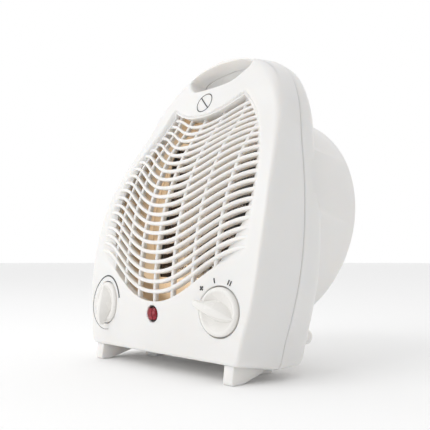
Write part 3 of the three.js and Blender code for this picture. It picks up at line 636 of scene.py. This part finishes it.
def front_body(thick):
    """The filled front half when thick is 0, or its hollow when thick is the wall."""
    edge = inset(outline(FACE_EDGE, SIDE_STEPS, BASE_STEPS), thick)
    seam = inset(outline(SEAM_EDGE, SIDE_STEPS, BASE_STEPS), thick)
    lip = 6 if thick else -SEAM_GAP / 2
    rings = [ring(inset(seam, 0 if thick else 0.5), seam_y(seam[:, 1]) + lip)]
    rings.append(ring(seam, seam_y(seam[:, 1]) + (0 if thick else -0.9)))
    wall_end = ring(edge, face_y(edge[:, 0], edge[:, 1]) + thick)
    start = rings[-1]
    for part in (0.35, 0.7):
        rings.append(start + (wall_end - start) * part)
    radius = fillet_radius(edge[:, 1])[:, None]
    back = start - wall_end
    side_point = wall_end + back / np.linalg.norm(back, axis=1, keepdims=True) * radius
    inner = inset(edge, radius)
    face_point = ring(inner, skin_y(inner[:, 0], inner[:, 1]) + thick)
    for i in range(FILLET_STEPS + 1):
        t = i / FILLET_STEPS
        rings.append((1 - t) ** 2 * side_point + 2 * t * (1 - t) * wall_end + t * t * face_point)
    for i in range(1, FACE_RINGS):
        flat = scaled(inner, 1 - i / FACE_RINGS)
        rings.append(ring(flat, skin_y(flat[:, 0], flat[:, 1]) + thick))
    return loft("front_body", rings)


def meeting(difference, low, high):
    """Where a falling difference crosses zero, by halving."""
    for _ in range(40):
        middle = (low + high) / 2
        low, high = (middle, high) if difference(middle) > 0 else (low, middle)
    return low


def brow_half():
    """Half width of the opening where its sides meet the brow."""
    return meeting(lambda x: float(hole_half(brow_z(x))) - x, 10, 60)


def opening_outline(grow=0.0):
    """Outline of the louvred opening, up the right side and back down the left."""
    corner_x = meeting(lambda x: float(hole_half(wave_z(x, OPENING_BASE))) - x, 30, 80)
    corner_z = float(wave_z(corner_x, OPENING_BASE))
    brow_x = brow_half()
    half = [(x, wave_z(x, OPENING_BASE)) for x in np.linspace(0, corner_x, 40, endpoint=False)]
    half += [(float(hole_half(z)), z) for z in np.linspace(corner_z, brow_z(brow_x), 44)]
    half += [(x, brow_z(x)) for x in np.linspace(brow_x, 0, 22)[1:]]
    half = np.array(half)
    points = np.vstack([half, half[1:-1][::-1] * (-1, 1)])
    ahead = np.roll(points, -1, axis=0) - np.roll(points, 1, axis=0)
    out = np.column_stack([ahead[:, 1], -ahead[:, 0]])
    return points + grow * out / np.linalg.norm(out, axis=1, keepdims=True)


def through_cut(name, points, y0, y1):
    """Straight cutter along y with an x, z outline."""
    return loft(name, [ring(points, y0), ring(points, y1)])


def opening_lip():
    """Wall round the opening, as deep as the louvres."""
    points = opening_outline(2.2)
    front = skin_y(points[:, 0], points[:, 1]) + 1.2
    back = face_y(points[:, 0], points[:, 1]) + sink(points[:, 1]) + LOUVRE_DEPTH + 0.6
    return loft("opening_lip", [ring(points, front), ring(points, back)])


def louvre_section():
    """Half-round nose and tapering blade, as y and z offsets from the nose's front."""
    front, back, depth = LOUVRE_NOSE_HALF, LOUVRE_TAIL_HALF, LOUVRE_DEPTH
    turn = np.linspace(-np.pi / 2, np.pi / 2, 7)
    nose = [(front * 0.85 * (1 - math.cos(a)), front * math.sin(a)) for a in turn]
    middle = (front + back) / 2
    return [*nose, (depth * 0.5, middle), (depth, back), (depth, -back), (depth * 0.5, -middle)]


def louvre_rings(number):
    """Wavy louvre from one side of the dished frame to the other."""
    base = OPENING_BASE + LOUVRE_PITCH * number
    reach = float(open_half(base + tip_rise(base))) + 2
    section = louvre_section()
    rings = []
    for x in np.linspace(-reach, reach, 73):
        z = float(wave_z(x, base))
        y = float(face_y(x, z) + sink(z)) + LOUVRE_SETBACK
        rings.append([(x, y + dy, z + dz) for dy, dz in section])
    return [np.array(r) for r in rings]


def opening_top(x):
    """Height of the opening's upper edge or side above an x."""
    width = abs(x)
    if width <= brow_half():
        return brow_z(x)
    return meeting(lambda z: float(hole_half(z)) - width, DISH_LOW_FROM, 230)


def rib_rings(number):
    """Upright rib from behind the louvres' noses to their backs."""
    x = number * RIB_PITCH
    low = float(wave_z(x, OPENING_BASE)) - 2
    high = opening_top(x) + 1.5
    half, depth = RIB_HALF, LOUVRE_DEPTH - RIB_RECESS
    rings = []
    for z in np.linspace(low, high, 40):
        y = float(face_y(x, z) + sink(z)) + RIB_RECESS
        rings.append(np.array([
            (x - half, y + 0.7, z), (x - half * 0.6, y, z), (x + half * 0.6, y, z), (x + half, y + 0.7, z),
            (x + half * 0.75, y + depth, z), (x - half * 0.75, y + depth, z),
        ]))
    return rings


def rim_flare(depth, radius):
    """How far a rounded rim opens out at a depth below the surface."""
    inside = max(0.0, radius - depth)
    return radius - math.sqrt(max(0.0, radius**2 - inside**2))


def handle_outline():
    """Outline of the grip opening, without its first point at the centre of the base."""
    return outline(HANDLE_HOLE, 56, 1)[1:]


def handle_rims():
    """Depth and outline of the grip opening's rounded rim, from outside it inwards."""
    for depth in (-4.0, 0.0, 0.25, 0.6, 1.1, 1.8, GRIP_RIM_RADIUS):
        flare = rim_flare(max(depth, 0.0), GRIP_RIM_RADIUS)
        yield depth, inset(handle_outline(), -flare, HOLE_CENTRE)


def front_handle_cut():
    """Cutter for the grip opening, with a rim that follows the face."""
    rings = [ring(rim, face_y(rim[:, 0], rim[:, 1]) + depth) for depth, rim in handle_rims()]
    return loft("handle_cut", [*rings, ring(handle_outline(), 90)])


def rear_handle_cut():
    """Cutter for the grip opening, with a rim in the flat back."""
    rings = [ring(rim, REAR_FACE_Y - depth) for depth, rim in handle_rims()]
    return loft("handle_cut", [ring(handle_outline(), 40), *reversed(rings)])


def handle_collar(y0, y1):
    """Wall round the grip opening, kept behind the face."""
    grown = inset(handle_outline(), -WALL, HOLE_CENTRE)
    front = np.maximum(y0, face_y(grown[:, 0], grown[:, 1]) + 1)
    return loft("handle_collar", [ring(grown, front), ring(grown, y1)])


def air_duct():
    """Cream wall that leads the air from the baffle's window to the louvres."""
    outer, inner = opening_outline(2.0), opening_outline(0.7)
    depth = LOUVRE_DEPTH + 0.9
    front = [face_y(p[:, 0], p[:, 1]) + sink(p[:, 1]) + depth for p in (outer, inner)]
    back = BAFFLE_Y - SEAM_GAP
    rings = [ring(outer, front[0]), ring(outer, back), ring(inner, back), ring(inner, front[1])]
    return finish_piece(sleeve("air_duct_visual", rings), CREAM)


# ------------------------------------------------------------------ the sloping control panel
def panel_place(x, z):
    """Housing-frame matrix with +z out of the panel and +y up it."""
    step = 4
    slope_x = float(skin_y(x + step, z) - skin_y(x - step, z)) / (2 * step)
    slope_z = float(skin_y(x, z + step) - skin_y(x, z - step)) / (2 * step)
    out = Vector((slope_x, -1, slope_z)).normalized()
    across = Vector((0, 0, 1)).cross(out).normalized()
    up = out.cross(across)
    turn = Matrix((across, up, out)).transposed().to_4x4()
    return Matrix.Translation((x, float(skin_y(x, z)), z)) @ turn


SELECTOR = panel_place(DIAL_X, DIAL_Z)
THERMOSTAT = panel_place(-DIAL_X, DIAL_Z)
LAMP = panel_place(0, LAMP_Z)


def recess_cut(place):
    """Cutter for a dial's recess with a rolled edge."""
    r, d = RECESS_RADIUS, RECESS_DEPTH
    profile = [(r - 0.8, -d), (r - 0.2, -d + 0.2), (r, -d + 0.8), (r, -0.55), (r + 0.08, -0.3),
               (r + 0.28, -0.08), (r + 0.6, 0.1), (r + 1.2, 0.5), (r + 1.2, 8)]
    return lathe("recess_cut", profile, HOUSING @ place, 128)


def seat_dial(shell, place):
    """Gives the shell a dial's cup, recess and shaft hole."""
    world = HOUSING @ place
    reach = RECESS_RADIUS + 1.8
    add(shell, lathe("cup", [(reach, -RECESS_DEPTH - 2), (reach, -0.8)], world))
    cut(shell, recess_cut(place))
    cut(shell, lathe("shaft_hole", [(4, -12), (4, 0)], world, 32))


def lamp_hole():
    """Cutter for the lamp's hole, with a small chamfer."""
    r = LAMP_RADIUS
    profile = [(r + 0.4, -8), (r + 0.4, -0.3), (r + 0.75, 0.05), (r + 0.9, 6)]
    return lathe("lamp_hole", profile, HOUSING @ LAMP, 64)


def front_shell():
    """Hollow front half with its louvred opening, dial seats and grip opening."""
    shell = front_body(0)
    cut(shell, front_body(WALL))
    add(shell, handle_collar(20, GRIP_SPLIT_Y - 0.3))
    add(shell, opening_lip())
    for place in (SELECTOR, THERMOSTAT):
        seat_dial(shell, place)
    cut(shell, lamp_hole())
    cut(shell, through_cut("opening", opening_outline(), -40, 46))
    add(shell, many_lofts("louvres", [louvre_rings(i) for i in range(1, LOUVRES + 1)]))
    ribs = [rib_rings(k) for k in range(-RIBS_EACH_SIDE, RIBS_EACH_SIDE + 1)]
    add(shell, many_lofts("ribs", ribs))
    cut(shell, front_handle_cut())
    shell.name = "front_shell_visual"
    return finish_piece(shell, WHITE, stands_for=["front_shell"])


# ------------------------------------------------------------------ rear shell
def raised(points):
    """The rear shell's underside rises towards the back to lie level over the floor."""
    base, top = SEAM_EDGE[0][1], SEAM_EDGE[-1][1]
    lift = REAR_BASE_RISE * (top - points[:, 1]) / (top - base)
    return points + np.column_stack([np.zeros(len(points)), lift])


def rear_body(thick):
    """The filled rear half when thick is 0, or its hollow when thick is the wall."""
    seam = inset(outline(SEAM_EDGE, SIDE_STEPS, BASE_STEPS), thick)
    edge = inset(raised(outline(SEAM_EDGE, SIDE_STEPS, BASE_STEPS)), thick)
    front = -6 if thick else SEAM_GAP / 2
    back = REAR_FACE_Y - thick
    depth = back - REAR_EDGE_Y
    rings = [ring(inset(seam, 0 if thick else 0.5), seam_y(seam[:, 1]) + front)]
    if not thick:
        rings.append(ring(seam, seam_y(seam[:, 1]) + 0.9))
    first = rings[-1]
    last = ring(edge, REAR_EDGE_Y)
    rings += [first + (last - first) * 0.5, last]
    for i in range(1, 9):
        a = math.pi / 2 * i / 8
        rings.append(ring(scaled(edge, 1 - 0.1 * (1 - math.cos(a))), REAR_EDGE_Y + depth * math.sin(a)))
    for k in (0.85, 0.6, 0.3):
        rings.append(ring(scaled(edge, k), back))
    return loft("rear_body", rings)


def drum_body(thick):
    """The fan drum with its rounded back edge, or its hollow when thick is the wall."""
    r = DRUM_RADIUS - thick
    back = DRUM_BACK - thick
    bend = DRUM_ROUND
    profile = [(r - 3, REAR_EDGE_Y - 6), (r, REAR_EDGE_Y + 4), (r, back - bend)]
    for a in np.linspace(0.26, math.pi / 2, 6):
        profile.append((r - bend * (1 - math.cos(a)), back - bend + bend * math.sin(a)))
    profile += [(r - 12, back), (r - 40, back), (10, back)]
    return turned_y("drum", profile, 0, AXIS_Z, 176)


def slot_rings(x0, x1, z, half):
    """Intake slot with round ends, as a cutter along y."""
    turn = np.linspace(-math.pi / 2, math.pi / 2, 9)
    right = [(x1 - half + half * math.cos(a), z + half * math.sin(a)) for a in turn]
    left = [(x0 + half - half * math.cos(a), z - half * math.sin(a)) for a in turn]
    points = np.array(right + left)
    return [ring(points, DRUM_BACK - 7), ring(points, DRUM_BACK + 2)]


def intake_slots():
    """Rows of slots within a circle, either side of a solid spine and hub."""
    bodies = []
    for row in range(-8, 9):
        z = AXIS_Z + row * 9
        reach = math.sqrt(79**2 - (row * 9) ** 2)
        spine = 17 if abs(row) <= 2 else 8
        bodies.append(slot_rings(spine, reach, z, 2.3))
        bodies.append(slot_rings(-reach, -spine, z, 2.3))
    return many_lofts("intake_slots", bodies)


SCREW_PLACES = [(-36, 27), (36, 27), (-50, 219), (50, 219)]


def rear_pad(x):
    """Small wedge under the rear shell with a sole on the floor."""
    def section(side):
        return np.array([(side, 50, floor_z(50)), (side, 64, floor_z(64)), (side, 64, 19), (side, 50, 17)])

    return bevelled(loft("pad", [section(x - 7), section(x + 7)]), 0.8)


def rear_shell():
    """Hollow rear half with its drum, slots, screw wells, pads and grip opening."""
    shell = add(rear_body(0), drum_body(0))
    cut(shell, add(rear_body(WALL), drum_body(WALL)))
    add(shell, handle_collar(GRIP_SPLIT_Y + 0.3, REAR_FACE_Y - 1))
    for x, z in SCREW_PLACES:
        add(shell, turned_y("sleeve", [(6.4, 55.8), (6.4, REAR_FACE_Y - 1)], x, z, 40))
        cut(shell, turned_y("well", [(4.2, 58.2), (4.2, REAR_FACE_Y + 4)], x, z, 40))
    cut(shell, rear_handle_cut())
    cut(shell, intake_slots())
    for x in (-56, 56):
        add(shell, rear_pad(x))
    cut(shell, turned_y("cord_hole", [(5, REAR_FACE_Y - 8), (5, REAR_FACE_Y + 4)], *GLAND, 40))
    shell.name = "rear_shell_visual"
    return finish_piece(shell, WHITE, stands_for=["rear_shell"])


# ------------------------------------------------------------------ feet
def front_foot(side, name, node):
    """Wedge with a flat sole that dies into the underside towards the back."""
    centre = side * 72
    sections = []
    for x in (centre - 4.3, centre + 4.3):
        sections.append(np.array([
            (x, 10.8, floor_z(10.8) + 1.6), (x, 12.2, floor_z(12.2)), (x, 20, floor_z(20)),
            (x, 40, 11.0), (x, 40, 13.2), (x, 10.4, 13.2),
        ]))
    foot = bevelled(loft(name, sections), 0.9)
    return finish_piece(foot, WHITE, stands_for=[node])


def rear_foot():
    """Open frame under the drum: a flat sole, three walls and a saddle."""
    front, back, half, wall, top = 80, 106, 30, 5, AXIS_Z - DRUM_RADIUS + 8

    def block(reach, y0, y1, lift):
        return loft("block", [np.array([
            (x, y0, floor_z(y0) + lift), (x, y1, floor_z(y1) + lift), (x, y1, top), (x, y0, top),
        ]) for x in (-reach, reach)])

    def round_the_drum(name, clearance, sides):
        radius = DRUM_RADIUS + clearance
        return turned_y(name, [(radius, front - 4), (radius, back + 4)], 0, AXIS_Z, sides)

    foot = block(half, front, back, 0)
    cut(foot, round_the_drum("drum_cut", 0.3, 176))
    window = block(half - wall, front - 2, back + 2, wall)
    cut(window, round_the_drum("saddle", 3.4, 128))
    centre = np.array([(-2.5, 0), (2.5, 0), (2.5, 60), (-2.5, 60)])
    cut(window, through_cut("centre_wall", centre, front - 4, back + 4))
    cut(foot, window)
    foot = bevelled(foot, 0.5, 2)
    foot.name = "foot_rear_visual"
    return finish_piece(foot, WHITE, stands_for=["foot_rear"])


# ------------------------------------------------------------------ dials
GRIP = [  # distance towards the pointer, half width of the crest, of the foot, and height
    (-14.2, 0.5, 0.9, 2.3), (-12, 1.0, 2.0, 3.0), (-8, 2.0, 4.2, 4.6), (-3, 2.8, 6.0, 6.2),
    (3, 3.0, 6.5, 7.6), (8, 2.6, 5.2, 8.4), (12, 2.2, 3.3, 8.5), (15, 2.1, 2.4, 8.2),
    (16.7, 1.8, 1.9, 7.6), (17.5, 1.0, 1.1, 6.8),
]
GRIP_ROUND = 1.1


def grip_rings():
    """Sections of a dial's grip from its tail to its pointer."""
    stations = spline(GRIP, 48)
    rings = []
    for y, half, spread, height in stations:
        foot = -1.0 + 4.6 * float(smooth((y - 12) / 3))
        top = height - GRIP_ROUND
        right = []
        for t in np.linspace(0, 1, 9):
            right.append((half + (spread - half) * (1 - t) ** 0.75, foot + (top - foot) * t))
        for a in np.linspace(0.3, math.pi / 2, 6):
            right.append((half * math.cos(a), top + GRIP_ROUND * math.sin(a)))
        left = [(-x, z) for x, z in right[:-1]][::-1]
        rings.append(np.array([(x, y, z) for x, z in right + left]))
    return rings


def dial(name, place, rest, node, body):
    """Dished disc with a rolled rim and a grip across it."""
    world = HOUSING @ place @ Matrix.Rotation(rest, 4, "Z")
    r = DIAL_RADIUS
    floor = -RECESS_DEPTH + 0.6
    profile = [(1.5, floor), (r - 0.5, floor), (r - 0.1, floor + 0.4), (r, -0.8)]
    for a in np.linspace(0.1, math.pi / 2, 9):
        profile.append((r - 2.4 + 2.4 * math.cos(a), -0.6 + 2.6 * math.sin(a)))
    profile += [(r - 2.9, 1.9), (r - 3.6, 1.4), (r - 5, 0.5), (r - 7, -0.3), (r - 10, -0.7), (2, -0.8)]
    knob = lathe(name, profile, world, 128)
    add(knob, loft("grip", grip_rings(), world))
    return finish_piece(knob, KNOB, body, [node], angle=38)


# ------------------------------------------------------------------ lamp and gland
def lamp_lens():
    """Faceted lens with flat top and bottom and two grooves."""
    world = HOUSING @ LAMP
    r = LAMP_RADIUS - 0.3
    profile = [(r - 0.9, -6), (r - 0.9, -1.2), (r, -0.9), (r, 0.1)]
    profile += [(r * 0.82, 0.9), (r * 0.45, 1.6), (0.4, 1.8)]
    lens = lathe("lamp_lens_visual", profile, world, 12)
    for side in (-1, 1):
        low, high = sorted((side * 3.9, side * 12))
        corners = [(-9, low), (9, low), (9, high), (-9, high)]
        rings = [np.array([(x, y, h) for x, y in corners]) for h in (-1.3, 4)]
        cut(lens, loft("flat", rings, world))
    for x in (-1.75, 1.75):
        corners = [(x - 0.22, -8), (x + 0.22, -8), (x + 0.22, 8), (x - 0.22, 8)]
        rings = [np.array([(a, b, h) for a, b in corners]) for h in (0.55, 4)]
        cut(lens, loft("groove", rings, world))
    return finish_piece(lens, LENS, stands_for=["lamp_lens"], angle=12)


def lamp_well():
    """Dark cup behind the lens."""
    world = HOUSING @ LAMP
    outer, inner = LAMP_RADIUS + 0.35, LAMP_RADIUS - 0.1
    cup = lathe("lamp_well", [(outer, -5), (outer, -1.0)], world, 48)
    cut(cup, lathe("cup_hollow", [(inner, -3.6), (inner, 1)], world, 48))
    return finish_piece(cup, GREY)


def cable_gland():
    """Hollow gland with a collar and three ribs."""
    y = REAR_FACE_Y
    profile = [(3.4, y - 5), (4.6, y - 5), (4.6, y + 0.1), (6.6, y + 0.1)]
    profile += [(6.8, y + 0.6), (6.6, y + 2), (6.0, y + 2.5)]
    for i in range(3):
        at = y + 3.2 + i * 2.1
        crest, groove = 5.7 - 0.15 * i, 5.2 - 0.15 * i
        profile += [(crest, at), (crest, at + 1.0), (groove, at + 1.2), (groove, at + 1.8)]
    profile += [(5.1, y + 9.6), (4.7, y + 10), (3.6, y + 10), (3.4, y + 9.6)]
    world = HOUSING @ Matrix.Translation((GLAND[0], 0, GLAND[1])) @ ALONG_Y
    gland = sleeve("cable_gland_visual", lathe_rings(profile, 48), world)
    return finish_piece(gland, WHITE, stands_for=["cable_gland"])


# ------------------------------------------------------------------ printing
def landed(skin, x, z):
    """Housing-frame depth of the finished front at x, z."""
    start = HOUSING @ Vector((x, -40, z))
    hit = skin.ray_cast(start, HOUSING.to_3x3() @ Vector((0, 1, 0)))[0]
    return (HOUSING.inverted() @ hit).y


def ribbon_rings(points, widths, place, skin, closed=False):
    """Thin printed band along u, v points of a panel, laid on the finished face."""
    points = np.array(points, float)
    if closed:
        ahead = np.roll(points, -1, axis=0) - np.roll(points, 1, axis=0)
    else:
        ahead = np.gradient(points, axis=0)
    side = np.column_stack([-ahead[:, 1], ahead[:, 0]])
    side /= np.linalg.norm(side, axis=1, keepdims=True)
    widths = np.broadcast_to(widths, len(points))
    rings = []
    for p, s, w in zip(points, side, widths):
        corners = []
        for k, lift in ((-1, PRINT_LIFT), (1, PRINT_LIFT), (1, -PRINT_DEPTH), (-1, -PRINT_DEPTH)):
            u, v = p + s * w * k / 2
            at = place @ Vector((u, v, 0))
            corners.append((at.x, landed(skin, at.x, at.z) - lift, at.z))
        rings.append(np.array(corners))
    return rings


def arc(radius, start, end, steps, centre=(0, 0)):
    """Points on an arc; angles are degrees clockwise from the top, seen from the front."""
    turn = np.radians(np.linspace(start, end, steps))
    return [(centre[0] + radius * math.sin(a), centre[1] + radius * math.cos(a)) for a in turn]


def stroke(angle, radius, offset, length, width, place, skin):
    """Radial bar of a dial's mark."""
    a = math.radians(angle)
    out, side = np.array((math.sin(a), math.cos(a))), np.array((math.cos(a), -math.sin(a)))
    middle = out * radius + side * offset
    return ribbon_rings([middle - out * length / 2, middle, middle + out * length / 2], width, place, skin)


def closed_band(points, width, place, skin):
    """Printed band that runs back to its own start."""
    rings = ribbon_rings(points, width, place, skin, closed=True)
    return rings + [rings[0]]


def selector_marks(skin):
    """Off, fan only, first and second heat."""
    off = arc(20.9, -79, -79, 1)[0]
    bodies = [closed_band(arc(1.7, 0, 350, 36, off), 0.8, SELECTOR, skin)]
    fan = arc(20.8, -46.6, -46.6, 1)[0]
    for k in range(4):
        a = math.radians(45 + 90 * k)
        out = np.array((math.sin(a), math.cos(a)))
        blade = [fan + out * t for t in (0.1, 0.7, 1.3, 1.8)]
        bodies.append(ribbon_rings(blade, [0.5, 1.2, 1.4, 0.6], SELECTOR, skin))
    bodies.append(stroke(-13.8, 20.3, 0, 3.4, 1.0, SELECTOR, skin))
    for offset in (-0.95, 0.95):
        bodies.append(stroke(21.5, 20.2, offset, 3.4, 0.95, SELECTOR, skin))
    return bodies


def printing(shell):
    """Marks round the dials, the widening arc and the ring with a bar at the top."""
    skin = BVHTree.FromObject(shell, bpy.context.evaluated_depsgraph_get())
    bodies = selector_marks(skin)
    start, end, steps = 168, 439, 130
    widths = 0.35 + 1.3 * ((np.linspace(start, end, steps) - start) / (end - start)) ** 1.5
    bodies.append(ribbon_rings(arc(20.9, start, end, steps), widths, THERMOSTAT, skin))
    finish_piece(many_lofts("dial_marks", bodies), INK)

    place = panel_place(0, SYMBOL_Z)
    r, tilt = SYMBOL_RADIUS, math.radians(45)
    bar = [(-r * math.sin(tilt) * t, r * math.cos(tilt) * t) for t in np.linspace(-1, 1, 24)]
    bodies = [closed_band(arc(r, 0, 357, 120), 0.8, place, skin), ribbon_rings(bar, 1.0, place, skin)]
    finish_piece(many_lofts("top_symbol", bodies), INK)


# ------------------------------------------------------------------ heating wires
def heating_wire(name, node, y):
    """Corrugated resistance wire laid to and fro at a depth, as a fine tube."""
    rows, reach, pitch = 9, 59.5, 12
    middle = AXIS_Z
    path = []
    for row in range(rows):
        z = middle + (row - (rows - 1) / 2) * pitch
        xs = np.linspace(-reach, reach, 217)
        if row % 2:
            xs = xs[::-1]
        path += [(x, y + 0.35 * math.cos(x * 2.1), z + 0.85 * math.sin(x * 2.1)) for x in xs]
    curve = bpy.data.curves.new(name, "CURVE")
    curve.dimensions = "3D"
    curve.bevel_depth = 0.32
    curve.bevel_resolution = 1
    line = curve.splines.new("POLY")
    line.points.add(len(path) - 1)
    for point, at in zip(line.points, path):
        point.co = (*at, 1)
    source = bpy.data.objects.new(name + "_curve", curve)
    bpy.context.scene.collection.objects.link(source)
    graph = bpy.context.evaluated_depsgraph_get()
    mesh = bpy.data.meshes.new_from_object(source.evaluated_get(graph))
    bpy.data.objects.remove(source)
    mesh.transform(HOUSING)
    wire = bpy.data.objects.new(name, mesh)
    bpy.context.scene.collection.objects.link(wire)
    return finish_piece(wire, WIRE, stands_for=[node], angle=60)


# ------------------------------------------------------------------ camera, light and floor
def look_at(obj, target):
    """Points the object's -z at the target."""
    obj.rotation_euler = (Vector(target) - obj.location).to_track_quat("-Z", "Y").to_euler()


def camera():
    """Camera at the heater's right front, a little below its middle and looking slightly up."""
    data = bpy.data.cameras.new("camera")
    data.sensor_width = 36
    data.lens = 48.9
    obj = bpy.data.objects.new("camera", data)
    obj.location = (0.332412, -0.325266, 0.076885)
    obj.rotation_euler = (math.radians(94.57), 0, math.radians(45.99))
    bpy.context.scene.collection.objects.link(obj)
    bpy.context.scene.camera = obj


def area_light(name, location, target, size, power):
    """Square light; size in metres and power in watts."""
    data = bpy.data.lights.new(name, "AREA")
    data.size = size
    data.energy = power
    obj = bpy.data.objects.new(name, data)
    obj.location = location
    look_at(obj, target)
    bpy.context.scene.collection.objects.link(obj)


def studio():
    """White room, three lights and a pale floor."""
    world = bpy.data.worlds.new("studio")
    world.use_nodes = True
    nodes, links = world.node_tree.nodes, world.node_tree.links
    nodes["Background"].inputs["Color"].default_value = (1, 1, 1, 1)
    # the room is dimmer to the right of the heater and in front of it
    towards = nodes.new("ShaderNodeVectorMath")
    towards.operation = "DOT_PRODUCT"
    towards.inputs[1].default_value = (0.8, -0.6, 0.08)
    links.new(nodes.new("ShaderNodeTexCoord").outputs["Generated"], towards.inputs[0])
    dim = nodes.new("ShaderNodeMapRange")
    dim.interpolation_type = "SMOOTHSTEP"
    dim.inputs["From Min"].default_value = 0.1
    dim.inputs["From Max"].default_value = 0.9
    dim.inputs["To Min"].default_value = 1.0
    dim.inputs["To Max"].default_value = 0.45
    links.new(towards.outputs["Value"], dim.inputs["Value"])
    links.new(dim.outputs["Result"], nodes["Background"].inputs["Strength"])
    bpy.context.scene.world = world
    bpy.context.scene.view_settings.view_transform = "Standard"
    area_light("key", (-0.25, -1.0, 1.1), (0, 0, 0.12), 0.8, 4.0)
    area_light("low_fill", (-0.1, -1.1, 0.12), (0, 0, 0.16), 0.6, 1.8)
    # light that the real heater gathers through its louvres and translucent walls
    inside = HOUSING @ Vector((0, 30, 125))
    area_light("inside", inside, HOUSING @ Vector((0, 60, 125)), 0.11, 0.055)
    bpy.ops.mesh.primitive_plane_add(size=60)
    floor = bpy.context.object
    floor.name = "floor"
    s = Shader("floor_paper", (0.98, 0.98, 0.98), 0.9)
    s.bump(s.noise(300, 2), 0.02)
    floor.data.materials.append(s.material)


# ------------------------------------------------------------------ everything together
camera()
studio()
dress_cad_nodes()
front = front_shell()
air_duct()
rear_shell()
front_foot(-1, "foot_left_visual", "foot_left")
front_foot(1, "foot_right_visual", "foot_right")
rear_foot()
dial("selector_knob_visual", SELECTOR, SELECTOR_REST, "selector_knob", "selector_dial")
dial("thermostat_knob_visual", THERMOSTAT, THERMOSTAT_REST, "thermostat_knob", "thermostat_dial")
lamp_lens()
lamp_well()
cable_gland()
printing(front)
heating_wire("heating_wire_front_visual", "heating_wire_front", 54)
heating_wire("heating_wire_back_visual", "heating_wire_back", 61)
